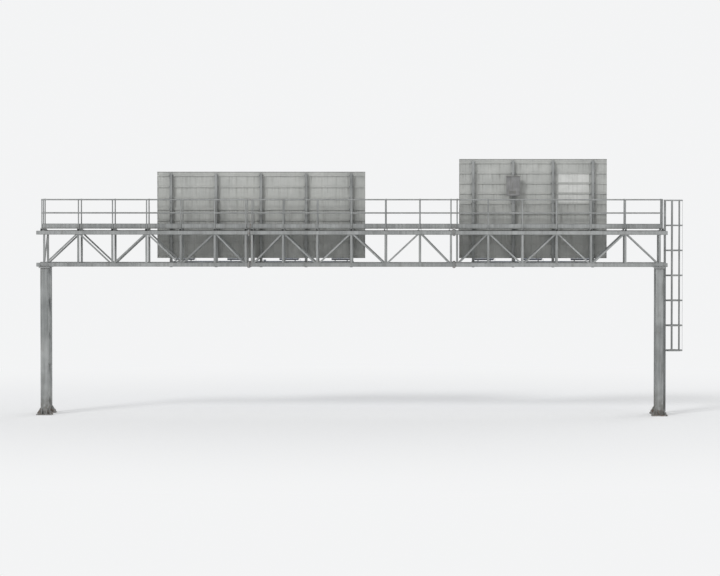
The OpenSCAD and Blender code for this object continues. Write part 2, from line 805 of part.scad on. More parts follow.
handrail(LEFT, FRONT);  // handrail_left_front
handrail(LEFT, REAR);  // handrail_left_rear
handrail(MID, FRONT);  // handrail_mid_front
handrail(MID, REAR);  // handrail_mid_rear
handrail(RIGHT, FRONT);  // handrail_right_front
handrail(RIGHT, REAR);  // handrail_right_rear
handrail_end();
landing_rails();
ladder();
ladder_cage();
sign_face(left_x, left_w, left_h);  // sign_left_face
sign_rails(left_x, left_w, left_h);  // sign_left_rails
sign_posts(left_x, left_w, left_h, left_posts);  // sign_left_posts
sign_face(right_x, right_w, right_h);  // sign_right_face
sign_rails(right_x, right_w, right_h);  // sign_right_rails
sign_posts(right_x, right_w, right_h, right_posts);  // sign_right_posts
lamp_arms(left_x, left_w, left_posts);  // lamp_arms_left
lamps(left_x, left_w, left_lamps);  // lamps_left
lamp_arms(right_x, right_w, right_posts);  // lamp_arms_right
lamps(right_x, right_w, right_lamps);  // lamps_right
cable_tray();
control_cabinet();
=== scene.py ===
import json
import math
from contextlib import contextmanager
from itertools import product

import bmesh
import bpy
from mathutils import Matrix, Vector


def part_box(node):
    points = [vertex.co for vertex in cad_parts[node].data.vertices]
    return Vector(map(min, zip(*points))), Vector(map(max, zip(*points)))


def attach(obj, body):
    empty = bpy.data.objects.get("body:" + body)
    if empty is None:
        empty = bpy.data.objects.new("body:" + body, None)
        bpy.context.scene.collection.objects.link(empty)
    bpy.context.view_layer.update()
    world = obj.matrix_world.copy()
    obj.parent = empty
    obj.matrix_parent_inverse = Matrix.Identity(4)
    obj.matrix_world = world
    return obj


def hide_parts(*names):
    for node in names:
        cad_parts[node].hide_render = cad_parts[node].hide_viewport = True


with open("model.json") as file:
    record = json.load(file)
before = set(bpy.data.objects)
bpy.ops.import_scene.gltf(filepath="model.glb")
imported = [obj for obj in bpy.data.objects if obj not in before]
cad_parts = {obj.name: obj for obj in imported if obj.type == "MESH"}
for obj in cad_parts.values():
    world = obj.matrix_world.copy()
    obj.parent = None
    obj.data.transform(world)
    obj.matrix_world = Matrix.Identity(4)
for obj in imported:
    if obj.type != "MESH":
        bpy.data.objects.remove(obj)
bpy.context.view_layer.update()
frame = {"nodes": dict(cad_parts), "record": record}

# Sizes in metres, and counts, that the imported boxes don't tell
CHORD = 0.15
CHORD_CUT = 0.014
WEB = 0.08
BRACE = 0.06
BAYS = 6
SPLICE_T = 0.02
CLEAT_T = 0.012
CLEAT_LIP = 0.06
COLUMN_X = 0.30
COLUMN_Y = 0.20
BASE_T = 0.04
BOLT_X = 0.25
BOLT_Y = 0.20
SEAT_T = 0.025
FOOT_T = 0.01
FOOT_HALF = 0.0362
POST_R = 0.02415
RAIL_R = 0.0212
STRINGER_T = 0.012
STRINGER_D = 0.065
LADDER_W = 0.45
LEG_PANELS = 4
BEARER_W = 0.10
KNEE_H = 0.58
RAIL_H = 1.10
GATE_W = 0.62
TOE_Y = 0.56
CAGE_R = 0.35
HOOP_T = 0.008
STRAP_T = 0.007
HOOP_H = 0.05
HOOPS = 7
PANEL_GAP = 0.006
FLANGE_W = 0.102
FLANGE_T = 0.009
RAIL_TALL = 0.06
RAIL_IN = 0.15
RAIL_PITCH = 0.42
SHEET_T = 0.004
FILM_T = 0.0008
FILM_GAP = 0.003
ARM = 0.06
LAMP_L = 0.76
LAMP_D = 0.26
LAMP_H = 0.15
LAMP_LOW = 0.042
LAMP_CREST = 0.052
LAMP_UP = 0.034
LAMP_RIM = 0.016
LAMP_RECESS = 0.008
CONDUIT_R = 0.0125
CLIP_T = 0.003
TRAY_W = 0.225
TRAY_D = 0.05
TRAY_Y = 0.30
DUCT_W = 0.10
DUCT_D = 0.06
ROOF_LIP = 0.03

X = Vector((1, 0, 0))
Y = Vector((0, 1, 0))
Z = Vector((0, 0, 1))
LENGTHS = ("left", "mid", "right")
shift = Matrix.Translation


def middle(node):
    low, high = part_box(node)
    return (low + high) / 2


def both(value):
    """A value on both sides of zero."""
    return (-value, value)


LEG_X = middle("column_right_front").x
CHORD_Y = middle("column_left_front").y
LOW_Z = middle("boom_left_bottom").z
HIGH_Z = middle("boom_left_top").z
UNDERSIDE = LOW_Z - CHORD / 2
BOOM_LENGTH = 2 * LEG_X / 3
SPLICE_X = BOOM_LENGTH / 2
WALK_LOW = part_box("walkway_mid")[0].z
WALK_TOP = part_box("walkway_mid")[1].z
RAIL_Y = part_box("handrail_mid_front")[1].y - FOOT_HALF
TRAY_LOW, TRAY_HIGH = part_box("cable_tray")

# Pairs of places: both legs, splices, sides of the boom, levels of its chords, and handrails
LEGS = both(LEG_X)
SPLICES = both(SPLICE_X)
SIDES = both(CHORD_Y)
LEVELS = (LOW_Z, HIGH_Z)
HANDRAILS = both(RAIL_Y)


# Places


def spaced(first, last, count):
    """Values from first to last, evenly apart."""
    return [first + k * (last - first) / (count - 1) for k in range(count)]


def grid(xs=(0,), ys=(0,), zs=(0,), about=(Vector(),)):
    """A point at every mix of these x, y and z, about one or more points."""
    return [Vector(point) + Vector(step) for point in about for step in product(xs, ys, zs)]


def facing(point, direction):
    """The place that takes a piece standing on +Z to a point, turned to a direction."""
    return shift(point) @ direction.to_track_quat("Z", "Y").to_matrix().to_4x4()


def set_on(point, along, normal):
    """The place whose X runs along a direction and whose Z stands up from a face."""
    turn = Matrix((along, normal.cross(along), normal)).transposed()
    return shift(point) @ turn.to_4x4()


# Tools


def pick(*pieces):
    """Select these pieces alone, the first one active."""
    bpy.ops.object.select_all(action="DESELECT")
    for piece in pieces:
        piece.select_set(True)
    bpy.context.view_layer.objects.active = pieces[0]


@contextmanager
def editing(piece, kind="FACE", test=None):
    """Edit mode on a piece's faces, edges or corners: all selected, or those that pass a test."""
    pick(piece)
    bpy.ops.object.mode_set(mode="EDIT")
    bpy.ops.mesh.select_mode(type=kind)
    bpy.ops.mesh.select_all(action="DESELECT" if test else "SELECT")
    if test:
        mesh = bmesh.from_edit_mesh(piece.data)
        for element in {"FACE": mesh.faces, "EDGE": mesh.edges, "VERT": mesh.verts}[kind]:
            element.select_set(bool(test(element)))
        mesh.select_flush_mode()
    yield
    bpy.ops.object.mode_set(mode="OBJECT")


def is_top(face):
    return face.normal.z > 0.9


def is_upright(edge):
    low, high = (corner.co.z for corner in edge.verts)
    return abs(high - low) > 0.003


def both_ends(test):
    """A test that an edge passes where the places of both its ends pass one."""
    return lambda edge: all(test(corner.co) for corner in edge.verts)


def modify(piece, kind, **settings):
    """Add a modifier with its settings and apply it."""
    pick(piece)
    bpy.ops.object.modifier_add(type=kind)
    modifier = piece.modifiers[-1]
    for name, value in settings.items():
        setattr(modifier, name, value)
    bpy.ops.object.modifier_apply(modifier=modifier.name)
    return piece


def round_edges(piece, width, segments=1, angle=40):
    """Bevel the edges that turn by more than an angle in degrees."""
    return modify(piece, "BEVEL", width=width, segments=segments, limit_method="ANGLE",
                  angle_limit=math.radians(angle))


def array(piece, count, step):
    """A row of copies, step apart, as one mesh."""
    return modify(piece, "ARRAY", count=count, use_relative_offset=False,
                  use_constant_offset=True, constant_offset_displace=step)


def taper(piece, x, y, top, lean=0.0):
    """Scale the top face round the upright axis, and move it along X."""
    with editing(piece, "FACE", is_top):
        bpy.ops.transform.resize(value=(x, y, 1), center_override=(0, 0, top))
        bpy.ops.transform.translate(value=(lean, 0, 0))
    return piece


def placed():
    """The new primitive, with its place and size put into its mesh."""
    bpy.ops.object.transform_apply()
    return bpy.context.object


def block(low, high, cut=0.0, segments=1):
    """A box between two corners, with its edges cut."""
    low, high = Vector(low), Vector(high)
    bpy.ops.mesh.primitive_cube_add(size=1, location=(low + high) / 2, scale=high - low)
    box = placed()
    return round_edges(box, cut, segments) if cut else box


def rod(start, end, radius, sides, cut=0.0):
    """A round bar between two points, with the edges of its ends cut."""
    start, end = Vector(start), Vector(end)
    bpy.ops.mesh.primitive_cylinder_add(
        vertices=sides, radius=radius, depth=(end - start).length, location=(start + end) / 2,
        rotation=(end - start).to_track_quat("Z", "Y").to_euler())
    bar = placed()
    return round_edges(bar, cut, angle=60) if cut else bar


def ball(radius, rings=8):
    bpy.ops.mesh.primitive_uv_sphere_add(segments=2 * rings, ring_count=rings, radius=radius)
    return placed()


def flat(x0, x1, z0, z1, y=0.0):
    """A flat face in X and Z that looks along +Y."""
    bpy.ops.mesh.primitive_plane_add(
        size=1, location=((x0 + x1) / 2, y, (z0 + z1) / 2), rotation=(-math.pi / 2, 0, 0))
    bpy.context.object.scale = (x1 - x0, z1 - z0, 1)
    return placed()


def put(piece, place):
    piece.data.transform(place)
    return piece


def repeat(piece, places):
    """One copy of a piece at each place, each with its own mesh. The piece itself goes."""
    copies = []
    for place in places:
        copy = piece.copy()
        copy.data = piece.data.copy()
        bpy.context.collection.objects.link(copy)
        copies.append(put(copy, place))
    bpy.data.objects.remove(piece)
    return copies


def join(parts):
    """Several pieces made one."""
    pick(*parts)
    if len(parts) > 1:
        bpy.ops.object.join()
    return bpy.context.object


def thicken(piece, thickness, offset=1.0):
    """Give a flat shape its thickness, along its normals where offset is 1."""
    modify(piece, "SOLIDIFY", thickness=thickness, offset=offset, use_even_offset=True)
    with editing(piece):
        bpy.ops.mesh.normals_make_consistent(inside=False)
    return piece


def framed(face, width):
    """Cut the middle out of a flat face, so that a frame of a width is left."""
    with editing(face):
        bpy.ops.mesh.inset(thickness=width)
        bpy.ops.mesh.delete(type="FACE")
    return face


def folded(x, z, first, steps, width, thickness):
    """A flat bar folded in X and Z: along X for a first length, then each step."""
    bpy.ops.mesh.primitive_plane_add(size=1, location=(x + first / 2, 0, z))
    bpy.context.object.scale = (first, width, 1)
    strip = placed()
    with editing(strip, "EDGE", both_ends(lambda place: abs(place.x - x - first) < 1e-6)):
        for dx, dz in steps:
            bpy.ops.mesh.extrude_region_move(TRANSFORM_OT_translate={"value": (dx, 0, dz)})
    return thicken(strip, thickness, 0.0)


def strap(width, height, wing, level, across, thickness):
    """A flat bar over something that runs along Y, with a wing on the face to each side."""
    steps = [(0, height), (width, 0), (0, -height), (wing, 0)]
    return folded(-width / 2 - wing, level, wing, steps, across, thickness)


def pipe(points, radius=CONDUIT_R, bend=0.07):
    """A tube through points, bent round at its corners."""
    points = [Vector(point) for point in points]
    route = [points[0]]
    for before, corner, after in zip(points, points[1:], points[2:]):
        tight = min(bend, 0.45 * (before - corner).length, 0.45 * (after - corner).length)
        start = corner + (before - corner).normalized() * tight
        end = corner + (after - corner).normalized() * tight
        for t in spaced(0, 1, 6):
            route.append((1 - t) ** 2 * start + 2 * t * (1 - t) * corner + t * t * end)
    route.append(points[-1])
    curve = bpy.data.curves.new("pipe", "CURVE")
    curve.dimensions = "3D"
    curve.bevel_depth = radius
    curve.bevel_resolution = 2
    curve.use_fill_caps = True
    line = curve.splines.new("POLY")
    line.points.add(len(route) - 1)
    for point, place in zip(line.points, route):
        point.co = (*place, 1)
    tube = bpy.data.objects.new("pipe", curve)
    bpy.context.collection.objects.link(tube)
    pick(tube)
    bpy.ops.object.convert(target="MESH")
    tube = bpy.context.object
    with editing(tube):
        bpy.ops.mesh.remove_doubles(threshold=1e-5)
        bpy.ops.mesh.normals_make_consistent(inside=False)
    return tube


# Finishes


def maths(operation, swapped=False):
    """A method that adds a Math node on a field and other values."""
    def method(field, *others):
        values = (*others, field) if swapped else (field, *others)
        return field.nodes.add("ShaderNodeMath", {"operation": operation}, values)
    return method


class Field:
    """A value that varies over a surface. Arithmetic on it adds Math nodes."""

    def __init__(self, nodes, socket):
        self.nodes = nodes
        self.socket = socket

    __add__ = __radd__ = maths("ADD")
    __sub__ = maths("SUBTRACT")
    __rsub__ = maths("SUBTRACT", swapped=True)
    __mul__ = __rmul__ = maths("MULTIPLY")
    __truediv__ = maths("DIVIDE")
    size = maths("ABSOLUTE")
    floor = maths("FLOOR")
    fraction = maths("FRACT")
    larger = maths("MAXIMUM")
    # 1 past a limit, 0 before it
    past = maths("GREATER_THAN")

    def within(self, low, high):
        """1 between two limits, 0 outside them."""
        return self.past(low) * (1 - self.past(high))

    def rise(self, start, end):
        """0 at start and before it, 1 at end and past it, smooth between."""
        return self.nodes.add("ShaderNodeMapRange", {"interpolation_type": "SMOOTHSTEP"},
                              (self, start, end, 0.0, 1.0))


class Nodes:
    """A tree of nodes."""

    def __init__(self, tree):
        self.tree = tree

    def add(self, kind, settings=None, values=(), out=0):
        """Add a node of a kind: its settings, then the values or links of its sockets."""
        made = self.tree.nodes.new(kind)
        for name, value in (settings or {}).items():
            setattr(made, name, value)
        if not isinstance(values, dict):
            values = dict(enumerate(values))
        for socket, value in values.items():
            self.feed(made.inputs[socket], value)
        return Field(self, made.outputs[out])

    def feed(self, socket, value):
        """Link a field to a socket, or set the socket to a constant."""
        if isinstance(value, Field):
            self.tree.links.new(value.socket, socket)
        else:
            socket.default_value = value

    def parts(self, vector):
        split = self.add("ShaderNodeSeparateXYZ", values=(vector,)).socket.node
        return [Field(self, output) for output in split.outputs]


class Finish(Nodes):
    """A material on the piece's own coordinates in metres."""

    def __init__(self, name, metal=0.0, specular=0.5):
        self.material = bpy.data.materials.new(name)
        self.material.use_nodes = True
        super().__init__(self.material.node_tree)
        self.shader = self.tree.nodes["Principled BSDF"]
        self.use("Metallic", metal)
        self.use("Specular IOR Level", specular)
        self.place = self.add("ShaderNodeTexCoord", out="Object")
        self.x, self.y, self.z = self.parts(self.place)
        self.up = self.parts(self.add("ShaderNodeTexCoord", out="Normal"))[2]
        self.colour = None

    def use(self, socket, value):
        self.feed(self.shader.inputs[socket], value)

    def grain(self, size, detail=3.0, stretch=(1, 1, 1), offset=(0, 0, 0)):
        """Soft noise, about 0.5, with spots of a size in metres."""
        place = self.add("ShaderNodeMapping", values={
            "Vector": self.place, "Scale": stretch, "Location": offset})
        return self.add("ShaderNodeTexNoise", values={
            "Vector": place, "Scale": 1 / size, "Detail": detail})

    def cells(self, size):
        """Flat random tones in cells of a size in metres."""
        tone = self.add("ShaderNodeTexVoronoi", values={
            "Vector": self.place, "Scale": 1 / size}, out="Color")
        return self.parts(tone)[0]

    def chance(self, number):
        """A random value from 0 to 1 that is always the same for a number."""
        return self.add("ShaderNodeTexWhiteNoise", {"noise_dimensions": "1D"},
                        {"W": number}, out="Value")

    def blend(self, one, other, mask):
        """One colour where the mask is 0, the other where it is 1."""
        return self.add("ShaderNodeMix", {"data_type": "RGBA"},
                        {0: mask, 6: one, 7: other}, out=2)

    def tint(self, tone, mask):
        """Turn the colour so far into a tone where the mask is 1."""
        self.colour = self.blend(self.colour, tone, mask)

    def weather(self, pale, dark, streak):
        """Begin the colour with mottle and rain runs between two tones."""
        mottle = self.grain(0.55, 6.0)
        broad = self.grain(2.6, 2.0, offset=(3.1, 1.7, 0.4))
        runs = self.grain(0.07, 4.0, (1, 1, 0.05))
        upright = 1 - self.up.size().rise(0.3, 0.8)
        tone = mottle * 0.50 + broad * 0.50 + (runs - 0.5) * upright * streak
        self.colour = self.blend(dark, pale, tone.rise(0.24, 0.76))

    def done(self, roughness, height, depth, strength=0.5):
        """The material with its colour, roughness and bump, whose depth is in metres."""
        self.use("Base Color", self.colour)
        self.use("Roughness", roughness)
        self.use("Normal", self.add("ShaderNodeBump", values={
            "Strength": strength, "Distance": depth, "Height": height}))
        return self.material


def grey(value, warm=0.0):
    return (value * (1 + warm), value, value * (1 - warm), 1)


ZINC_DARK = (0.200, 0.209, 0.208, 1)
ZINC_PALE = (0.385, 0.396, 0.392, 1)
# Grime colour, also used to paint shade on the zinc's downward faces
GRIME_AND_SHADE = (0.115, 0.108, 0.092, 1)
MOSS = (0.135, 0.150, 0.095, 1)
RUST = (0.165, 0.075, 0.038, 1)
RUST_PALE = (0.265, 0.140, 0.078, 1)
ALLOY_DARK = (0.350, 0.360, 0.350, 1)
ALLOY_PALE = (0.520, 0.528, 0.505, 1)
ALLOY_BRIGHT = (0.66, 0.665, 0.645, 1)
FILM_BLUE = (0.012, 0.085, 0.36, 1)
FILM_FADED = (0.035, 0.13, 0.40, 1)
FILM_WHITE = (0.72, 0.73, 0.72, 1)
FILM_DULL = (0.60, 0.61, 0.59, 1)
GLASS_CLEAN = (0.50, 0.54, 0.54, 1)
GLASS_DUSTY = (0.40, 0.39, 0.36, 1)
LAMP_DUST = (0.24, 0.225, 0.19, 1)
CABINET_DUST = (0.26, 0.25, 0.21, 1)


def own_tone(finish):
    """A tone from -1 to 1 for each length of chord, bar of the boom's sides and column."""
    # Added to a number, so that no two of these kinds share one
    upright_bars, top_chords, front_side, columns = 40, 13, 7, 29
    slack = 0.005
    half_upright = 0.035    # in bays
    across = finish.y.size()
    bay = (finish.x + LEG_X) / (BOOM_LENGTH / BAYS)
    nearest = (bay + 0.5).floor()
    upright = 1 - (bay - nearest).size().past(half_upright)
    bar = bay.floor() * (1 - upright) + (nearest + upright_bars) * upright
    web = finish.z.within(LOW_Z + CHORD / 2, HIGH_Z - CHORD / 2)
    length = finish.x.past(-SPLICE_X) + finish.x.past(SPLICE_X)
    length += finish.z.past((LOW_Z + HIGH_Z) / 2) * top_chords
    column = 1 - finish.z.past(UNDERSIDE - 2 * SEAT_T)
    number = bar * web + length * (1 - web) + finish.y.past(0) * front_side + column * columns
    boom = finish.z.within(UNDERSIDE - 0.001, HIGH_Z + CHORD / 2 + 0.001)
    side = across.within(CHORD_Y - CHORD / 2 - slack, CHORD_Y + CHORD / 2 + slack)
    off_splice = (finish.x.size() - SPLICE_X).size().past(SPLICE_T + 0.002)
    on_column = column * across.past(CHORD_Y - COLUMN_Y / 2 - slack) * finish.z.rise(0.05, 0.45)
    return (finish.chance(number) - 0.5) * 2 * (boom * side * off_splice + on_column)


def zinc():
    """Galvanised steel after years beside a road, with painted shade on the faces that look down."""
    finish = Finish("zinc", 0.30, 0.35)
    spangle = finish.cells(0.016)
    finish.weather(ZINC_PALE, ZINC_DARK, 0.55)
    tone = own_tone(finish)
    for shade, side in ((ZINC_PALE, tone), (ZINC_DARK, 0 - tone)):
        finish.tint(shade, side.rise(0.0, 1.0) * 0.35)
    finish.tint(ZINC_PALE, spangle.rise(0.55, 1.0) * 0.14)
    finish.tint(ZINC_DARK, (1 - spangle).rise(0.6, 1.0) * 0.13)
    soot = finish.grain(0.16, 6.0, (1, 1, 0.20), (5.0, 2.0, 1.0)).rise(0.48, 0.76)
    finish.tint(GRIME_AND_SHADE, soot * 0.34)
    patches = finish.grain(0.20, 8.0, (0.35, 1, 1), (6.0, 1.0, 2.0)).rise(0.30, 0.75)
    ledge = finish.up.rise(0.55, 0.9) * (0.35 + patches * 0.65)
    finish.tint(GRIME_AND_SHADE, ledge * 0.46)
    # Painted shade: faces that look down are darkened evenly towards the grime colour, with no grain
    finish.tint(GRIME_AND_SHADE, (0 - finish.up).rise(0.5, 0.95) * 0.30)
    splash = (1.0 - finish.z / 1.3).rise(0.05, 1.0) * finish.grain(0.16, 6.0).rise(0.30, 0.66)
    finish.tint(GRIME_AND_SHADE, splash * 0.75)
    at_splice = 1 - (finish.x.size() - SPLICE_X).size().rise(0.02, 0.16)
    at_base = 1 - finish.z.rise(0.03, 0.34)
    seep = finish.grain(0.05, 8.0, (1, 1, 0.30), (1.0, 8.0, 2.0)).rise(0.50, 0.68)
    freckles = finish.grain(0.035, 4.0, (1, 1, 0.5), (7.0, 3.0, 9.0)).rise(0.70, 0.80)
    rust = finish.blend(RUST, RUST_PALE, finish.grain(0.02, 3.0))
    finish.tint(rust, seep * (at_base * 0.85 + at_splice * 0.50) + freckles * 0.7)
    return finish.done(0.44 + finish.grain(0.12, 4.0) * 0.22 + ledge * 0.2,
                       finish.grain(0.012, 3.0) + spangle * 0.3, 0.0010)


def bar_grating():
    """Galvanised flat bars, scuffed by boots along the middle."""
    finish = Finish("bar_grating", 0.30, 0.35)
    finish.weather(ZINC_PALE, ZINC_DARK, 0.3)
    finish.tint(GRIME_AND_SHADE, finish.grain(0.08, 5.0).rise(0.35, 0.65) * 0.55)
    tread = (1 - finish.y.size().rise(0.15, 0.38)) * finish.up.rise(0.5, 0.9)
    scuff = tread * finish.grain(0.03, 4.0, (1, 3, 1)).rise(0.40, 0.60)
    finish.tint(ZINC_PALE, scuff * 0.7)
    moss = finish.grain(0.30, 5.0, offset=(2.0, 6.0, 0.0)).rise(0.60, 0.72)
    finish.tint(MOSS, moss * 0.5)
    return finish.done(0.62 - scuff * 0.25, finish.grain(0.010, 3.0), 0.0008)


def below_rail(finish, sign):
    """How far a place is below the rail over it: 0 at that rail, 1 at the next one down."""
    lowest, second = sign.rails[:2]
    return ((lowest - RAIL_TALL / 2 - finish.z) / (second - lowest)).fraction()


def mill_alloy():
    """Bare aluminium sheet gone dull, each sheet its own tone, with runs from every rail."""
    finish = Finish("mill_alloy", 0.35, 0.4)
    finish.weather(ALLOY_PALE, ALLOY_DARK, 0.22)
    sheets = [((finish.x - sign.x0) / sign.sheet_w).floor() for sign in SIGNS]
    drops = [below_rail(finish, sign) for sign in SIGNS]
    on_right = finish.x.past((LEFT_SIGN.x1 + RIGHT_SIGN.x0) / 2)
    right_numbers = 20
    number = sheets[0] * (1 - on_right) + (sheets[1] + right_numbers) * on_right
    drop = drops[0] * (1 - on_right) + drops[1] * on_right
    finish.tint(ALLOY_PALE, 0.20 + finish.chance(number) * 0.35)
    stain = finish.grain(0.05, 5.0, (1, 1, 0.045), (0.3, 0.2, 4.0)).rise(0.46, 0.80)
    finish.tint(GRIME_AND_SHADE, stain * (0.12 + (1 - drop.rise(0.10, 0.95)) * 0.34))
    settled = drop.rise(0.80, 1.0) * finish.grain(0.12, 6.0).rise(0.30, 0.75)
    finish.tint(GRIME_AND_SHADE, settled * 0.22)
    white_bloom = finish.grain(0.30, 8.0, (1, 1, 0.6), (4.0, 4.0, 4.0)).rise(0.52, 0.80)
    finish.tint(ALLOY_BRIGHT, white_bloom * 0.35)
    finish.tint(GRIME_AND_SHADE, finish.up.rise(0.6, 0.95) * 0.45)
    drawn = finish.grain(0.004, 2.0, (0.02, 1, 1))
    return finish.done(0.40 + finish.grain(0.20, 4.0) * 0.28,
                       drawn * 0.5 + finish.grain(0.5, 2.0), 0.0012, 0.35)


def pale_alloy():
    """Paler aluminium sheet, with a few faint runs."""
    finish = Finish("pale_alloy", 0.35, 0.4)
    finish.colour = finish.blend(ALLOY_BRIGHT, ALLOY_PALE, finish.grain(0.3, 5.0).rise(0.35, 0.75) * 0.6)
    finish.tint(GRIME_AND_SHADE, finish.grain(0.05, 5.0, (1, 1, 0.045)).rise(0.48, 0.80) * 0.20)
    return finish.done(0.34 + finish.grain(0.15, 4.0) * 0.22,
                       finish.grain(0.004, 2.0, (0.02, 1, 1)), 0.0006, 0.35)


def film(name, fresh, faded, dirt):
    """Reflective film: fine prism cells, faded and rain streaked."""
    finish = Finish(name)
    fade = finish.grain(1.6, 6.0, (1, 1, 0.5)).rise(0.30, 0.75)
    prism = finish.add("ShaderNodeTexVoronoi", {"feature": "DISTANCE_TO_EDGE"}, {
        "Vector": finish.place, "Scale": 1 / 0.012, "Randomness": 0.0}).rise(0.02, 0.10)
    finish.colour = finish.blend(faded, finish.blend(fresh, faded, fade * 0.4), prism * 0.5 + 0.5)
    runs = finish.grain(0.06, 5.0, (1, 1, 0.04)).rise(0.48, 0.85)
    finish.tint(GRIME_AND_SHADE, runs * dirt)
    finish.use("Coat Weight", 0.20 - runs * 0.18)
    return finish.done(0.32 + runs * 0.3, prism, 0.0003, 0.4)


def painted(name, colour, worn, dust):
    """Powder coat with an orange-peel skin, chalked by the sun, dust on what faces up."""
    finish = Finish(name, 0.0, 0.4)
    chalk = finish.grain(0.25, 5.0).rise(0.35, 0.70)
    finish.colour = finish.blend(colour, worn, chalk * 0.8)
    finish.tint(GRIME_AND_SHADE, finish.grain(0.03, 4.0, (1, 1, 0.08)).rise(0.50, 0.72) * 0.40)
    settled = finish.up.rise(0.25, 0.85) * finish.grain(0.05, 5.0).rise(0.30, 0.60)
    finish.tint(dust, settled * 0.65)
    chips = finish.grain(0.012, 3.0, offset=(3.0, 3.0, 3.0)).rise(0.74, 0.78)
    finish.tint(RUST, chips * 0.6)
    return finish.done(0.42 + settled * 0.35 + chalk * 0.1, finish.grain(0.004, 2.0), 0.0003)


def fastener_zinc():
    """Bolts: mottled zinc that bleeds rust, more of it near the ground."""
    finish = Finish("fastener_zinc", 0.45, 0.4)
    patches = finish.grain(0.02, 4.0).rise(0.30, 0.70)
    finish.colour = finish.blend(grey(0.17, 0.04), grey(0.36, 0.02), patches)
    bleed = finish.grain(0.014, 4.0, offset=(1.0, 5.0, 2.0)).rise(0.54, 0.74)
    near_ground = 1 - finish.z.rise(0.05, 0.5)
    finish.tint(RUST, bleed * (0.40 + near_ground * 0.45))
    return finish.done(0.42 + bleed * 0.35, finish.grain(0.003, 2.0), 0.0003)


def pane_glass():
    """Clear glass under patches of dust."""
    finish = Finish("lamp_pane", specular=0.6)
    dust = finish.grain(0.09, 7.0).rise(0.30, 0.85)
    finish.use("IOR", 1.5)
    finish.use("Base Color", finish.blend(GLASS_CLEAN, GLASS_DUSTY, dust))
    finish.use("Roughness", 0.06 + dust * 0.30)
    finish.use("Alpha", 0.18 + dust * 0.20)
    finish.use("Coat Weight", 1.0 - dust)
    return finish.material


class Sign:
    """Where a sign and its lamps stand, from their packed boxes."""

    def __init__(self, side, posts, sheets, lamps):
        self.side = side
        low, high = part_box(f"sign_{side}_face")
        self.x0, self.x1 = low.x, high.x
        self.z0, self.z1 = low.z, high.z
        self.front_y = high.y
        self.sheet_y = high.y - SHEET_T
        self.sheet_w = (high.x - low.x) / sheets
        self.joints = [low.x + k * self.sheet_w for k in range(1, sheets)]
        low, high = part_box(f"sign_{side}_posts")
        self.back_y = low.y
        self.rail_y = high.y
        self.top = high.z
        self.posts = spaced(low.x + FLANGE_W / 2, high.x - FLANGE_W / 2, posts)
        low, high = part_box(f"sign_{side}_rails")
        rows = round((self.z1 - self.z0 - 2 * RAIL_IN) / RAIL_PITCH)
        self.rails = spaced(low.z + RAIL_TALL / 2, high.z - RAIL_TALL / 2, rows + 1)
        low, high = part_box(f"lamps_{side}")
        starts = spaced(low.x, high.x - LAMP_L, lamps)
        self.lamps = [shift((x, (low.y + high.y) / 2, low.z)) for x in starts]

    def inside(self, margin):
        """Limits of the face in X and Z, less a margin."""
        return self.x0 + margin, self.x1 - margin, self.z0 + margin, self.z1 - margin

    def between_rails(self, gap):
        """Lower and upper ends of the sheet between each two rails, less a gap at both."""
        half = RAIL_TALL / 2 + gap
        return [(low + half, high - half) for low, high in zip(self.rails, self.rails[1:])]


LEFT_SIGN = Sign("left", posts=5, sheets=5, lamps=4)
RIGHT_SIGN = Sign("right", posts=4, sheets=4, lamps=3)
SIGNS = (LEFT_SIGN, RIGHT_SIGN)
# Where the right sign's back has paler sheets
PATCH_X = (8.1, 9.3)
PATCH_Z = (8.2, 9.5)

FINISHES = {
    "galvanised": zinc(),
    "grating": bar_grating(),
    "sign_sheet": mill_alloy(),
    "sign_film": film("film_blue", FILM_BLUE, FILM_FADED, 0.25),
    "film_white": film("film_white", FILM_WHITE, FILM_DULL, 0.30),
    "lamp_body": painted("lamp_coat", grey(0.085), grey(0.16), LAMP_DUST),
    "lamp_glass": pane_glass(),
    "cabinet": painted("cabinet_coat", grey(0.21), grey(0.29), CABINET_DUST),
    "fastener": fastener_zinc(),
}
alloy_patch = pale_alloy()


def dress_nodes():
    """Give every CAD node the finish that the record names for it."""
    for part in frame["record"]["subparts"]:
        for material_slot in frame["nodes"][part["node"]].material_slots:
            material_slot.material = FINISHES[part["material_slot"]]


def hand_over(parts, name, slot, finish=None, stands_for=()):
    """Join what was made into a named piece on the gantry, in its slot's finish or its own."""
    piece = join(parts)
    piece.name = name
    piece.data.name = name
    piece.data.materials.clear()
    piece.data.materials.append(finish or FINISHES[slot])
    bpy.ops.object.shade_smooth_by_angle(angle=math.radians(35))
    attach(piece, "root")
    if stands_for:
        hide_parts(*stands_for)


# Places along the boom and up the legs


def panel_points(length):
    """Places of the uprights in one of the boom's three lengths."""
    low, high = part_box(f"boom_{length}_bottom")
    start = -LEG_X + LENGTHS.index(length) * BOOM_LENGTH
    inner = spaced(start, start + BOOM_LENGTH, BAYS + 1)[1:-1]
    return [low.x + WEB / 2, *inner, high.x - WEB / 2]


def bearer_places():
    """Places of the walkway bearers: the panel points, moved out at the two ends."""
    low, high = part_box("walkway_bearers")
    inner = [x for length in LENGTHS for x in panel_points(length)][1:-1]
    return [low.x + BEARER_W / 2, *inner, high.x - BEARER_W / 2]


def panels(length, gap=0.0):
    """Starts and ends of the grating panels in one length, with a gap between them."""
    low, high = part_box(f"walkway_{length}")
    joints = panel_points(length)[1:-1]
    starts = [low.x, *[x + gap / 2 for x in joints]]
    ends = [*[x - gap / 2 for x in joints], high.x]
    return list(zip(starts, ends))


def leg_levels():
    """Heights of the level bars between a leg's columns."""
    low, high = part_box("bracing_left")
    return spaced(low.z + WEB / 2, high.z - WEB / 2, LEG_PANELS + 1)


# Fasteners


def washer(size):
    return rod((0, 0, 0), (0, 0, 0.15 * size), 0.92 * size, 14, 0.04 * size)


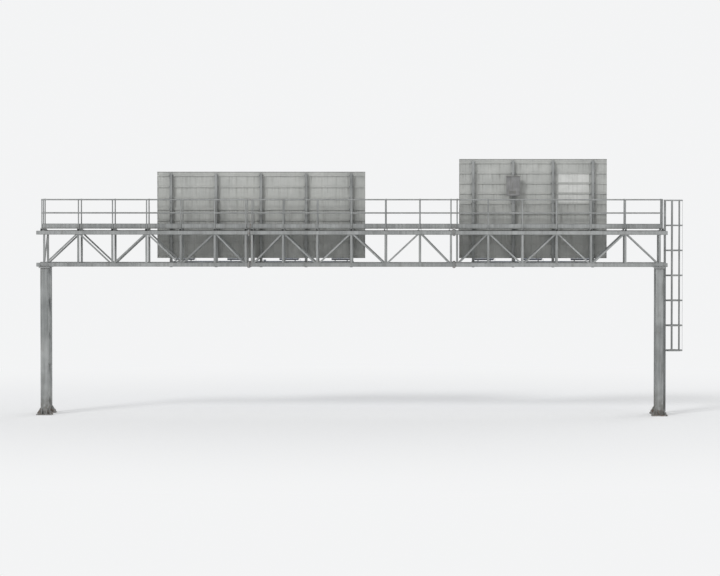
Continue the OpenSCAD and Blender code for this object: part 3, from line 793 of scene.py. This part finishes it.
def hexagon(size, low, high):
    """A hexagon with its upper corners turned off."""
    prism = rod((0, 0, low), (0, 0, high), 0.87 * size, 6)
    with editing(prism, "FACE", is_top):
        bpy.ops.mesh.bevel(offset=0.10 * size, segments=1)
    return prism


def bolt_head(size):
    """Hexagon head on a washer, standing on +Z."""
    return join([hexagon(size, 0.14 * size, 0.78 * size), washer(size)])


def nut_end(size):
    """Washer, nut and the end of the thread, standing on +Z."""
    stud = rod((0, 0, 0), (0, 0, 1.3 * size), 0.5 * size, 10, 0.06 * size)
    return join([hexagon(size, 0.14 * size, 0.95 * size), washer(size), stud])


def heads(size, points, normal=Z):
    """Bolt heads at points on a face."""
    return repeat(bolt_head(size), [facing(point, normal) for point in points])


def bolts_between(size, ends):
    """Bolts whose head and nut stand on two faces: (point, point) pairs."""
    return (repeat(bolt_head(size), [facing(a, a - b) for a, b in ends])
            + repeat(nut_end(size), [facing(b, b - a) for a, b in ends]))


def through_bolts(size, points, head, nut):
    """Bolts at points, the head one step away from each and the nut another."""
    return bolts_between(size, [(point + head, point + nut) for point in points])


def splice_bolts():
    """Eight bolts through each pair of splice plates."""
    near, far = both(0.045), both(0.10)
    chords = grid(SPLICES, SIDES, LEVELS)
    points = grid(ys=far, zs=near, about=chords) + grid(ys=near, zs=far, about=chords)
    return through_bolts(0.020, points, -SPLICE_T * X, SPLICE_T * X)


def seat_bolts():
    """Six bolts through the plates between each column and the boom."""
    columns = grid(LEGS, SIDES, (UNDERSIDE,))
    points = grid((-0.11, 0, 0.11), both(0.125), about=columns)
    return through_bolts(0.024, points, 0 * Z, -2 * SEAT_T * Z)


def holding_down_nuts():
    """Plate washer, two nuts and the stud's end at each corner of a base plate."""
    size = 0.030
    thread = rod((0, 0, 0.060), (0, 0, 0.0625), size / 2 + 0.0012, 14, 0.0011)
    whole = join([block((-0.04, -0.04, 0), (0.04, 0.04, 0.010), 0.002),
                  hexagon(size, 0.010, 0.034), hexagon(size, 0.035, 0.059),
                  rod((0, 0, -0.03), (0, 0, 0.095), size / 2, 14, 0.003),
                  array(thread, 8, (0, 0, 0.0035))])
    corners = grid(both(BOLT_X), both(BOLT_Y), about=grid(LEGS, SIDES, (BASE_T,)))
    return repeat(whole, map(shift, corners))


def cleat_bolts():
    """Four bolts above and below each chord, through cleat and post."""
    posts = [point for sign in SIGNS for point in grid(sign.posts, (sign.back_y,), LEVELS)]
    points = grid(both(0.031), zs=both(CHORD / 2 + CLEAT_LIP / 2), about=posts)
    return through_bolts(0.016, points, FLANGE_T * Y, -CLEAT_T * Y)


def rail_foot_bolts():
    """Two bolts in each handrail foot plate."""
    feet = grid(bearer_places(), HANDRAILS, (WALK_LOW + FOOT_T,))
    return heads(0.010, grid(both(0.034), about=feet))


def cage_bolts():
    """Bolts from the hoops to the straps and to the stringers."""
    size = 0.009
    low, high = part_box("ladder_cage")
    ladder_x = low.x + STRINGER_D / 2
    cage_x = high.x - HOOP_T - CAGE_R
    outer_y = LADDER_W / 2 + STRINGER_T + HOOP_T
    ends, front = [], []
    for z in spaced(low.z + HOOP_H / 2, high.z - HOOP_H / 2, HOOPS):
        for turn in (-100, -50, 50, 100):
            way = Matrix.Rotation(math.radians(turn), 3, "Z") @ X
            out = Vector((cage_x, 0, z)) + way * (CAGE_R + HOOP_T)
            ends.append((out - way * (HOOP_T + STRAP_T), out))
        front.append(facing((cage_x + CAGE_R - STRAP_T, 0, z), -X))
        for way in (-1, 1):
            side = Vector((ladder_x, way * outer_y, z))
            ends.append((side, side - way * (HOOP_T + STRINGER_T) * Y))
    return bolts_between(size, ends) + repeat(nut_end(size), front)


def bracket_bolts():
    """Two bolts in the pad of each ladder bracket."""
    stringers = both((LADDER_W + STRINGER_T) / 2)
    pads = grid((LEG_X + WEB / 2 + STRINGER_T,), stringers, [*leg_levels(), *LEVELS])
    return heads(0.010, grid(ys=both(0.0185), about=pads), X)


# Welds


def weld(long, wide, leg=0.007, lean=0.0):
    """The bead round a bar's end: it stands on Z = 0, and its top is moved along X by lean."""
    lap = 0.001
    bead = block((-long / 2 - leg, -wide / 2 - leg, -lap), (long / 2 + leg, wide / 2 + leg, leg))
    return taper(bead, (long + lap) / (long + 2 * leg), (wide + lap) / (wide + 2 * leg), leg, lean)


def leaning_weld(end, other, axis, face):
    """The bead where a diagonal from one point to another leaves a face across an axis."""
    leg = 0.006
    run = (other - end).normalized()
    rise = abs(run[axis])
    normal = (Y if axis == 1 else Z) * math.copysign(1, run[axis])
    bead = weld(BRACE / rise, BRACE, leg, leg * abs(run.x) / rise)
    return put(bead, set_on(end + run * face / rise, X * math.copysign(1, run.x), normal))


def boom_welds():
    """Beads round the ends of the boom's uprights, cross bars and diagonals."""
    square, beads = [], []
    half = CHORD / 2
    inner = CHORD_Y - half
    way = 1
    for length in LENGTHS:
        points = panel_points(length)
        for x in points:
            square += [set_on((x, y, z), X, up) for y in SIDES
                       for z, up in ((LOW_Z + half, Z), (HIGH_Z - half, -Z))]
            square += [set_on((x, -side * inner, z), X, side * Y) for z in LEVELS for side in (-1, 1)]
        for x, next_x in zip(points, points[1:]):
            z, next_z = LEVELS[::way]
            bars = [((x, y, z), (next_x, y, next_z), 2, half) for y in SIDES]
            bars += [((x, -way * inner, z), (next_x, way * inner, z), 1, 0) for z in LEVELS]
            for start, end, axis, face in bars:
                start, end = Vector(start), Vector(end)
                beads += [leaning_weld(start, end, axis, face), leaning_weld(end, start, axis, face)]
            way = -way
    return repeat(weld(WEB, WEB), square) + beads


def column_welds():
    """Beads round the columns at plate and cap, and round the level bars between them."""
    leg = 0.012
    half_x, half_y = COLUMN_X / 2 + leg, COLUMN_Y / 2 + leg
    ring = block((-half_x, -half_y, -0.001), (half_x, half_y, leg))
    with editing(ring, "EDGE", is_upright):
        bpy.ops.mesh.bevel(offset=0.035, segments=4)
    taper(ring, COLUMN_X / (COLUMN_X + 0.022), COLUMN_Y / (COLUMN_Y + 0.022), leg)
    feet = [set_on((x, y, z), X, way) for x in LEGS for y in SIDES
            for z, way in ((BASE_T, Z), (UNDERSIDE - 2 * SEAT_T, -Z))]
    inner = CHORD_Y - COLUMN_Y / 2
    bars = [set_on((x, -way * inner, z), X, way * Y)
            for x in LEGS for z in leg_levels() for way in (-1, 1)]
    return repeat(ring, feet) + repeat(weld(WEB, WEB), bars)


def chord_caps():
    """Plates that close the chords' ends."""
    half = (CHORD - 0.012) / 2
    cap = block((-half, -half, 0), (half, half, 0.006))
    with editing(cap, "EDGE", is_upright):
        bpy.ops.mesh.bevel(offset=CHORD_CUT, segments=3)
    end_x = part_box("boom_right_rear")[1].x
    places = [facing((way * end_x, y, z), way * X) for way in (-1, 1) for y in SIDES for z in LEVELS]
    return repeat(round_edges(cap, 0.0015), places)


# Walkway


def bearer_cleats():
    """Angle cleats that hold the walkway bearers on the top chords, with their bolts."""
    thick, half = 0.006, 0.04
    level = folded(thick / 2, thick / 2, 0.055, [], 2 * half, thick)
    wall = block((0, -half, 0), (thick, half, 0.06))
    down = heads(0.012, [(0.034, 0, thick)])
    side = heads(0.012, [(thick, 0, 0.040)], X)
    cleat = join([round_edges(join([level, wall]), 0.0015), *down, *side])
    places = []
    for k, x in enumerate(bearer_places()):
        # On the side towards the middle of the boom's length
        way = 1 if k % (BAYS + 1) < BAYS / 2 else -1
        x += way * BEARER_W / 2
        places += [set_on((x, y, HIGH_Z + CHORD / 2), way * X, Z) for y in SIDES]
    return repeat(cleat, places)


def grating_clips():
    """Saddle clips that hold each grating panel down at its corners."""
    steps = [(0.003, -0.010), (0.022, 0), (0.003, 0.010), (0.020, 0)]
    clip = join([folded(-0.034, 0.0015, 0.020, steps, 0.030, 0.003), *heads(0.008, [(0, 0, -0.008)])])
    ends = [x for length in LENGTHS for start, end in panels(length) for x in (start + 0.05, end - 0.05)]
    return repeat(clip, [set_on((x, y, WALK_TOP), Y, Z) for x in ends for y in both(0.44)])


def handrail_fittings():
    """Forged balls where the rails pass the posts, and spigots in the rail joints."""
    heights = (WALK_TOP + KNEE_H, WALK_TOP + RAIL_H)
    knob = join([rod((0, 0, -0.030), (0, 0, 0.030), POST_R + 0.0035, 16, 0.003), ball(0.0335)])
    posts = bearer_places()
    spots = grid(posts, HANDRAILS, heights)
    spots += grid(posts[-1:], both(GATE_W / 2 + POST_R), heights)
    spots += grid((-posts[-1],), zs=heights)
    spigot = rod((-0.03, 0, 0), (0.03, 0, 0), RAIL_R - 0.004, 12, 0.001)
    joints = grid(SPLICES, HANDRAILS, heights)
    return repeat(knob, map(shift, spots)) + repeat(spigot, map(shift, joints))


def toe_board_bolts():
    """Two bolts through the toe board at each post, and joint plates where it is in lengths."""
    heights = (0.045, 0.105)
    posts = [facing((x, way * TOE_Y, WALK_TOP + height), -way * Y)
             for x in bearer_places() for way in (-1, 1) for height in heights]
    thick = 0.004
    plate = block((-0.07, -thick, 0.02), (0.07, 0, 0.13), 0.0015)
    joint = join([plate, *heads(0.008, grid(both(0.045), (-thick,), heights), -Y)])
    joints = [set_on((x, way * TOE_Y, WALK_TOP), way * X, Z) for way in (1, -1) for x in SPLICES]
    return repeat(bolt_head(0.010), posts) + repeat(joint, joints)


def grating_panel(low, high):
    """Flat bars on edge with cross rods and a bar round the outside, one panel."""
    bar_t, rod_r, bar_pitch, rod_pitch = 0.005, 0.0035, 0.0412, 0.10
    lap = 0.0004
    inside = high.y - low.y - 2 * bar_t
    bars = round(inside / bar_pitch)
    step = inside / bars
    first_y = low.y + bar_t + step
    load = block((low.x + bar_t / 2, first_y - bar_t / 2, low.z + lap),
                 (high.x - bar_t / 2, first_y + bar_t / 2, high.z - lap))
    rods = round((high.x - low.x) / rod_pitch)
    gap = (high.x - low.x) / rods
    rod_x, rod_z = low.x + gap / 2, high.z - 0.0045
    across = rod((rod_x, low.y + 0.002, rod_z), (rod_x, high.y - 0.002, rod_z), rod_r, 6)
    sides = [block((low.x + lap, y, low.z + lap), (high.x - lap, y + bar_t, high.z - lap))
             for y in (low.y, high.y - bar_t)]
    ends = [block((x, low.y + lap, low.z), (x + bar_t, high.y - lap, high.z))
            for x in (low.x, high.x - bar_t)]
    return [array(load, bars - 1, (0, step, 0)), array(across, rods, (gap, 0, 0)), *sides, *ends]


def walkway_gratings():
    """The walkway's panels from bearer to bearer, for the three lengths."""
    for length in LENGTHS:
        low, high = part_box(f"walkway_{length}")
        parts = []
        for start, end in panels(length, PANEL_GAP):
            parts += grating_panel(Vector((start, *low.yz)), Vector((end, *high.yz)))
        hand_over(parts, f"grating_{length}", "grating", stands_for=[f"walkway_{length}"])


# Signs


def riveted(sheets, dots):
    """Sheets on a sign's back with a rivet on each dot."""
    return sheets + repeat(ball(0.006, 4), map(shift, dots))


def joint_strips(sign):
    """Riveted strips over the joints between sheets, from rail to rail."""
    back = sign.sheet_y - 0.0025
    strips, dots = [], []
    for x, (z0, z1) in product(sign.joints, sign.between_rails(0.006)):
        strips.append(block((x - 0.04, back, z0), (x + 0.04, sign.sheet_y, z1), 0.001))
        rows = [z0 + share * (z1 - z0) for share in (0.12, 0.5, 0.88)]
        dots += grid((x - 0.024, x + 0.024), (back,), rows)
    return riveted(strips, dots)


def patch_sheets():
    """Paler pieces of sheet riveted to the right sign's back between its rails."""
    front = RIGHT_SIGN.sheet_y
    back = front - 0.003
    x0, x1 = PATCH_X
    sheets, dots = [], []
    for z0, z1 in RIGHT_SIGN.between_rails(0.004):
        if z0 > PATCH_Z[0] and z1 < PATCH_Z[1]:
            sheets.append(block((x0, back, z0), (x1, front, z1), 0.001))
            dots += grid(spaced(x0 + 0.03, x1 - 0.03, 13), (back,), (z0 + 0.025, z1 - 0.025))
    return riveted(sheets, dots)


def rail_clips(sign):
    """Folded clips, each with a bolt, that hold the rails to the posts' flanges."""
    clip = folded(-0.018, FLANGE_T + 0.002, 0.021, [(0.002, -FLANGE_T), (0.034, 0)], 0.046, 0.004)
    clip = join([clip, *heads(0.008, [(0.022, 0, 0.004)])])
    levels = [z for z in sign.rails if z < sign.top - 0.06]
    return repeat(clip, [set_on((x + way * FLANGE_W / 2, sign.rail_y, z), way * X, -Y)
                         for x in sign.posts for z in levels for way in (1, -1)])


def film_field(sign):
    """The sign's blue face, with rounded corners and a fine gap at each joint between sheets."""
    face = flat(*sign.inside(0.004), sign.front_y)
    with editing(face, "VERT"):
        bpy.ops.mesh.bevel(offset=0.09, segments=6, affect="VERTICES")
        for joint, half in product(sign.joints, both(FILM_GAP / 2)):
            bpy.ops.mesh.select_all(action="SELECT")
            bpy.ops.mesh.bisect(plane_co=(joint + half, 0, 0), plane_no=X)
    with editing(face, "FACE", lambda strip: any(
            abs(strip.calc_center_median().x - joint) < FILM_GAP for joint in sign.joints)):
        bpy.ops.mesh.delete(type="FACE")
    return [thicken(face, FILM_T)]


def outline(x0, x1, z0, z1, y, width=0.035, radius=0.10):
    """A white line inside a rectangle, its corners rounded."""
    face = flat(x0, x1, z0, z1, y)
    with editing(face, "VERT"):
        bpy.ops.mesh.bevel(offset=radius, segments=7, affect="VERTICES")
    return thicken(framed(face, width), FILM_T)


def arrow(x, z, y, size, turn=0):
    """A plain arrow with its tip at a point, turned from straight down."""
    shaft = flat(-0.13 * size, 0.13 * size, 0.55 * size, 1.25 * size)
    head = flat(-0.40 * size, 0.40 * size, 0, 0.55 * size)
    with editing(head, "VERT", lambda corner: corner.co.z < 0.01):
        bpy.ops.mesh.merge(type="CENTER")
    whole = thicken(join([shaft, head]), FILM_T)
    return put(whole, shift((x, y, z)) @ Matrix.Rotation(math.radians(turn), 4, "Y"))


def border(sign, y):
    """The white line round the edge of a sign's face."""
    return outline(*sign.inside(0.05), y, 0.06, 0.26)


def legend_left():
    """Border, a blank panel outline, a divider and an arrow over each lane."""
    sign = LEFT_SIGN
    x, y, low, high = sign.x0, sign.front_y + FILM_T, sign.z0, sign.z1
    return [border(sign, y),
            outline(x + 0.55, x + 2.15, high - 1.15, high - 0.45, y),
            thicken(flat(x + 2.70, x + 2.75, low + 0.40, high - 0.40, y), FILM_T),
            *[arrow(x + lane, low + 0.42, y, 0.70) for lane in (1.35, 4.30, 6.75)]]


def legend_right():
    """Border, a blank panel outline and one slanting arrow."""
    sign = RIGHT_SIGN
    y, high = sign.front_y + FILM_T, sign.z1
    return [border(sign, y),
            outline(sign.x1 - 2.45, sign.x1 - 0.60, high - 1.25, high - 0.50, y),
            arrow(sign.x0 + 0.75, high - 1.10, y, 1.05, 135)]


# Lights, each made with its left end at X = 0 on its beam's top

LAMP_EDGE = Vector((0, -LAMP_D / 2, LAMP_UP + LAMP_LOW))
LAMP_TOP = Vector((0, LAMP_D / 2 - LAMP_CREST, LAMP_UP + LAMP_H))
SLOPE = LAMP_TOP - LAMP_EDGE
SLOPE_D = SLOPE.length
# From a frame that lies on a lamp's sloping face to the lamp's own
LAMP_TILT = shift(LAMP_EDGE) @ Matrix.Rotation(math.atan2(SLOPE.z, SLOPE.y), 4, "X")
# Edge of the opening in a lamp's frame, with its clearance
PANE_IN = LAMP_RIM + 0.002


def lamp_panes(sign):
    """The pane in each lamp's frame."""
    pane = block((PANE_IN, PANE_IN, -0.0040), (LAMP_L - PANE_IN, SLOPE_D - PANE_IN, -0.0015), 0.0008, 2)
    return repeat(put(pane, LAMP_TILT), sign.lamps)


def lamp_reflectors(sign):
    """Bright ribbed reflector with a long tube on it, under each pane."""
    rows = 12
    pitch = (SLOPE_D - 2 * PANE_IN) / rows
    rib = rod((0, 0, 0), (LAMP_L - 2 * PANE_IN, 0, 0), pitch / 2, 6)
    with editing(rib):
        bpy.ops.transform.resize(value=(1, 1.16, 0.16))
    put(rib, shift((PANE_IN, PANE_IN + pitch / 2, 0.0012 - LAMP_RECESS)))
    y, tube_z, cap_z = SLOPE_D / 2, -0.0068, -0.0066
    tube_in, cap_in, cap_l = 0.10, 0.085, 0.022
    tube = rod((tube_in, y, tube_z), (LAMP_L - tube_in, y, tube_z), 0.0022, 10)
    caps = [rod((x, y, cap_z), (x + cap_l, y, cap_z), 0.0026, 10)
            for x in (cap_in, LAMP_L - cap_in - cap_l)]
    whole = join([array(rib, rows, (0, pitch, 0)), tube, *caps])
    return repeat(put(whole, LAMP_TILT), sign.lamps)


def gland(length, radius, sides):
    """A cable gland, standing on +Z."""
    return join([hexagon(0.016, 0, 0.010), rod((0, 0, 0), (0, 0, length), radius, sides, 0.002)])


def bezel():
    """The screwed frame round a lamp's pane."""
    face = flat(LAMP_RIM - 0.012, LAMP_L - LAMP_RIM + 0.012, 0.004, SLOPE_D - 0.004)
    put(face, Matrix.Rotation(-math.pi / 2, 4, "X"))
    face = round_edges(thicken(framed(face, 0.016), 0.003, 0.0), 0.0008)
    screws = grid((0.018, LAMP_L / 2, LAMP_L - 0.018), (0.012, SLOPE_D - 0.012), (0.0015,))
    return put(join([face, *heads(0.004, screws)]), LAMP_TILT)


def lamp_trim(sign):
    """Bezel, cooling ribs, a gland with its conduit tail and the bolts under the beam."""
    back_y, top_z = LAMP_D / 2, LAMP_TOP.z
    rib = block((0.05, LAMP_TOP.y - 0.004, top_z - 0.03), (0.054, back_y - 0.006, top_z + 0.006))
    with editing(rib, "EDGE", both_ends(lambda place: place.y > back_y - 0.01 and place.z > top_z)):
        bpy.ops.mesh.bevel(offset=0.025, segments=1)
    ribs = array(rib, 17, ((LAMP_L - 0.104) / 16, 0, 0))
    inlet_y, inlet_z = 0.04, LAMP_UP + 0.05
    inlet = put(gland(0.022, 0.010, 12), facing((LAMP_L, inlet_y, inlet_z), X))
    nuts = repeat(nut_end(0.010), [facing((x, 0, -ARM), -Z) for x in (0.14, LAMP_L - 0.14)])
    tail_x, beam_y = LAMP_L + 0.055, ARM / 2 + CONDUIT_R
    tail = pipe([(LAMP_L + 0.010, inlet_y, inlet_z), (tail_x, inlet_y, inlet_z),
                 (tail_x, beam_y, LAMP_UP), (tail_x, beam_y, -ARM / 2)], 0.006, 0.03)
    return repeat(join([bezel(), ribs, inlet, tail, *nuts]), sign.lamps)


def arm_bolts(sign):
    """Four bolts in each lamp arm's end plate."""
    arms = grid(sign.posts, (sign.rail_y,), (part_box(f"lamp_arms_{sign.side}")[0].z + ARM,))
    points = grid(both(0.040), zs=both(0.047), about=arms)
    return through_bolts(0.010, points, FLANGE_T * Y, -FLANGE_T * Y)


# Services

# Where conduits end in the tray, how far beside a post's middle they run, and the top of the
# bottom chord, which the lamp arms share
ENTRY_Y = TRAY_HIGH.y - 0.06
ENTRY_Z = TRAY_HIGH.z - TRAY_D + 0.01
BESIDE = FLANGE_W / 2 + CONDUIT_R + CLIP_T
CHORD_TOP = LOW_Z + CHORD / 2


def saddle():
    """A strap over a conduit that runs along Y on a face, with its two screws."""
    across = 2 * CONDUIT_R
    return join([strap(across, across, 0.020, 0.001, 0.020, 0.0025),
                 *heads(0.005, grid(both(CONDUIT_R + 0.011), zs=(0.002,)))])


def junction_box(x, y, z):
    """A small cast box with its lid and screws, its underside on a point."""
    top = z + 0.045
    return [block((x - 0.05, y - 0.045, z), (x + 0.05, y + 0.045, top), 0.005, 2),
            block((x - 0.054, y - 0.049, top), (x + 0.054, y + 0.049, top + 0.008), 0.003),
            *heads(0.005, grid(both(0.042), both(0.037), about=[(x, y, top + 0.008)]))]


def pipe_clip(reach):
    """A ring round a conduit that runs along Y, on a plate that reaches to what carries it."""
    return join([block((-reach, -0.015, -CLIP_T), (CONDUIT_R + 0.006, 0.015, 0), 0.001),
                 rod((0, -0.010, CONDUIT_R), (0, 0.010, CONDUIT_R), CONDUIT_R + CLIP_T, 14, 0.001),
                 *heads(0.006, [(0.014 - reach, 0, 0)])])


def cabinet_conduit():
    """From under the cabinet down beside its post, and back over the chord to the tray."""
    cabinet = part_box("control_cabinet")[0]
    x, y = RIGHT_SIGN.posts[1] + BESIDE, RIGHT_SIGN.back_y + CONDUIT_R
    foot_y, foot_z = cabinet.y + 0.16, cabinet.z
    over_z = CHORD_TOP + CLIP_T + CONDUIT_R
    run = pipe([(x, foot_y, foot_z + 0.02), (x, foot_y, foot_z - 0.09), (x, y, foot_z - 0.20),
                (x, y, over_z), (x, ENTRY_Y, over_z), (x, ENTRY_Y, ENTRY_Z)])
    collar = round_edges(rod((x, foot_y, foot_z - 0.022), (x, foot_y, foot_z), 0.021, 6), 0.002)
    levels = (over_z + 0.35, HIGH_Z - 0.35, HIGH_Z + 0.30, HIGH_Z + 0.85)
    clips = [set_on((x, RIGHT_SIGN.back_y, z), X, Y) for z in levels]
    return [run, collar, *repeat(pipe_clip(0.055), clips)]


def beam_conduits(sign, post):
    """From the tray out along one lamp arm to a box on the beam, and along the beam's far side."""
    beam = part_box(f"lamp_arms_{sign.side}")[1].y
    beam_y, back_y = beam - ARM / 2, beam + CONDUIT_R
    level = CHORD_TOP - ARM / 2
    x, z = sign.posts[post] + BESIDE, CHORD_TOP + CLIP_T + CONDUIT_R
    out = pipe([(x, ENTRY_Y, ENTRY_Z), (x, ENTRY_Y, z), (x, beam_y, z)])
    clips = [set_on((x, y, CHORD_TOP + CLIP_T), X, Z)
             for y in (sign.front_y + 0.15, sign.front_y + 0.6, beam_y - 0.25)]
    start, end = sign.posts[0], sign.posts[-1]
    along = pipe([(start, back_y, level), (end, back_y, level)])
    saddles = [set_on((x, beam, level), Z, Y) for x in spaced(start + 0.12, end - 0.12, 9)]
    drop = pipe([(x, back_y, CHORD_TOP + 0.02), (x, back_y, level)], CONDUIT_R * 0.8)
    return [out, along, drop, *junction_box(x, beam_y, CHORD_TOP),
            *repeat(pipe_clip(0.085), clips), *repeat(saddle(), saddles)]


def duct_foot():
    """Gland plate with two blanked glands, under the foot of the cable duct."""
    x, y, z = LEG_X - WEB / 2 - DUCT_D / 2, -TRAY_Y, TRAY_LOW.z
    half_x, half_y, under = 0.027, 0.047, z - 0.004
    plate = block((x - half_x, y - half_y, under), (x + half_x, y + half_y, z), 0.001)
    places = [facing((x, y + dy, under), -Z) for dy in both(0.023)]
    return [plate, *repeat(gland(0.020, 0.012, 14), places)]


def duct_straps():
    """Straps round the cable duct at each leg bar, and its lid."""
    face_x = LEG_X - WEB / 2
    width, wing = DUCT_W + 0.004, 0.040
    band = join([strap(width, DUCT_D + 0.002, wing, 0.0015, 0.040, 0.003),
                 *heads(0.008, grid(both((width + wing) / 2), zs=(0.003,)))])
    places = [set_on((face_x, -TRAY_Y, z), Y, -X) for z in leg_levels()[:-1]]
    half = DUCT_W / 2 - 0.008
    lid = block((face_x - DUCT_D - 0.003, -TRAY_Y - half, TRAY_LOW.z + 0.004),
                (face_x - DUCT_D, -TRAY_Y + half, LOW_Z - WEB / 2 - 0.02), 0.001)
    return repeat(band, places) + [lid]


def tray_joints():
    """Joint plates on the tray's two sides every few metres."""
    z = TRAY_HIGH.z - TRAY_D
    thick, margin = 0.003, 0.006
    plate = block((-0.10, 0, margin), (0.10, thick, TRAY_D - margin), 0.001)
    bolts = heads(0.006, grid(spaced(-0.075, 0.075, 4), (thick,), (TRAY_D / 2,)), Y)
    places = [set_on((x, -TRAY_Y + way * TRAY_W / 2, z), way * X, Z)
              for x in spaced(-0.75 * LEG_X, 0.75 * LEG_X, 7) for way in (1, -1)]
    return repeat(join([plate, *bolts]), places)


def cabinet_trim():
    """Swing handle, lock, louvres and gland plate on the control cabinet."""
    low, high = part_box("control_cabinet")
    x0, x1 = low.x + ROOF_LIP, high.x - ROOF_LIP
    y, z0 = low.y + ROOF_LIP, low.z
    x, z = x1 - 0.075, z0 + 0.40
    back = block((x - 0.016, y - 0.006, z - 0.075), (x + 0.016, y, z + 0.075), 0.002, 2)
    lever = block((x - 0.009, y - 0.020, z - 0.065), (x + 0.009, y - 0.006, z + 0.045), 0.005, 2)
    with editing(lever, "FACE", lambda face: face.normal.z < -0.9):
        bpy.ops.transform.resize(value=(0.7, 0.7, 1), center_override=(x, y - 0.013, 0))
    lock = rod((x, y - 0.026, z + 0.055), (x, y, z + 0.055), 0.011, 16, 0.002)
    slat = block((x0 + 0.11, y - 0.012, z0 + 0.09), (x1 - 0.16, y + 0.001, z0 + 0.102))
    with editing(slat, "EDGE", both_ends(lambda place: place.y < y - 0.01 and place.z > z0 + 0.10)):
        bpy.ops.transform.translate(value=(0, 0.011, 0))
    plate = block((x0 + 0.10, low.y + 0.10, z0 - 0.008), (x1 - 0.08, low.y + 0.22, z0), 0.002)
    return [back, lever, lock, array(slat, 6, (0, 0, 0.022)), plate]


# Studio

BACKGROUND = (0.90, 0.905, 0.91, 1)
VIEWPOINT = Vector((4.2, -147.0, 9.83))
AIM = Vector((0.32, 0, 4.95))
PICTURE_WIDTH = 28.2


def hang(name, data, direction):
    """A camera or lamp in the scene, turned to look from the side that a direction points to."""
    hung = bpy.data.objects.new(name, data)
    hung.rotation_euler = Vector(direction).to_track_quat("Z", "Y").to_euler()
    bpy.context.collection.objects.link(hung)
    return hung


def camera():
    """The roadside camera's place, with a long lens that fills the picture with the gantry."""
    lens = bpy.data.cameras.new("camera")
    lens.lens = lens.sensor_width * (AIM - VIEWPOINT).length / PICTURE_WIDTH
    lens.clip_end = 2000
    bpy.context.scene.camera = hang("camera", lens, VIEWPOINT - AIM)
    bpy.context.scene.camera.location = VIEWPOINT


def lamp_from(name, direction, strength, softness):
    sun = bpy.data.lights.new(name, "SUN")
    sun.energy = strength
    sun.angle = math.radians(softness)
    hang(name, sun, direction)


def surround():
    """Even pale light from all round, seen at full strength and lighting at less."""
    world = bpy.data.worlds.new("surround")
    bpy.context.scene.world = world
    world.use_nodes = True
    nodes = Nodes(world.node_tree)
    sky = nodes.tree.nodes["Background"].inputs
    straight = nodes.add("ShaderNodeLightPath", out="Is Camera Ray")
    mirrored = nodes.add("ShaderNodeLightPath", out="Is Glossy Ray")
    seen = straight.larger(mirrored)
    nodes.feed(sky["Color"], BACKGROUND)
    nodes.feed(sky["Strength"], 0.68 + seen * 0.32)


def pale_floor():
    """A floor that takes shadows near the gantry and runs out into the surround."""
    bpy.ops.mesh.primitive_circle_add(vertices=96, radius=900, fill_type="NGON")
    floor = bpy.context.object
    floor.name = "floor"
    ground = Finish("floor", specular=0.1)
    ground.use("Roughness", 0.9)
    ground.use("Base Color", BACKGROUND)
    away = ground.add("ShaderNodeVectorMath", {"operation": "LENGTH"}, (ground.place,), out="Value")
    lit = Field(ground, ground.shader.outputs[0])
    glow = ground.add("ShaderNodeEmission", values={"Color": BACKGROUND, "Strength": 1.0})
    mix = ground.add("ShaderNodeMixShader", values=(0.12 + away.rise(10, 36) * 0.88, lit, glow))
    ground.feed(ground.tree.nodes["Material Output"].inputs["Surface"], mix)
    floor.data.materials.append(ground.material)


def studio():
    """Pale floor and surround, with soft light from in front and a little from behind."""
    bpy.context.scene.view_settings.view_transform = "Standard"
    surround()
    pale_floor()
    lamp_from("key", (-0.45, -0.80, 0.62), 1.15, 14)
    lamp_from("fill", (0.6, 0.7, 0.5), 0.60, 50)


camera()
dress_nodes()
walkway_gratings()
for make in (splice_bolts, seat_bolts, holding_down_nuts, cleat_bolts, rail_foot_bolts, cage_bolts,
             bracket_bolts):
    hand_over(make(), make.__name__, "fastener")
for make in (bearer_cleats, grating_clips, handrail_fittings, toe_board_bolts, boom_welds,
             column_welds, chord_caps):
    hand_over(make(), make.__name__, "galvanised")
for sign in SIGNS:
    for make, slot in ((joint_strips, "sign_sheet"), (rail_clips, "galvanised"),
                       (film_field, "sign_film"), (arm_bolts, "fastener")):
        hand_over(make(sign), f"{make.__name__}_{sign.side}", slot)
hand_over(patch_sheets(), "patch_sheets", "sign_sheet", alloy_patch)
for make in (legend_left, legend_right):
    hand_over(make(), make.__name__, "film_white")
for sign in SIGNS:
    for make, slot, finish in ((lamp_panes, "lamp_glass", None),
                               (lamp_reflectors, "sign_sheet", alloy_patch),
                               (lamp_trim, "lamp_body", None)):
        hand_over(make(sign), f"{make.__name__}_{sign.side}", slot, finish)
hand_over(cabinet_conduit(), "cabinet_conduit", "galvanised")
hand_over(beam_conduits(LEFT_SIGN, 2), "beam_conduits_left", "galvanised")
hand_over(beam_conduits(RIGHT_SIGN, 1), "beam_conduits_right", "galvanised")
for make in (duct_straps, duct_foot, tray_joints):
    hand_over(make(), make.__name__, "galvanised")
hand_over(cabinet_trim(), "cabinet_trim", "cabinet")
studio()
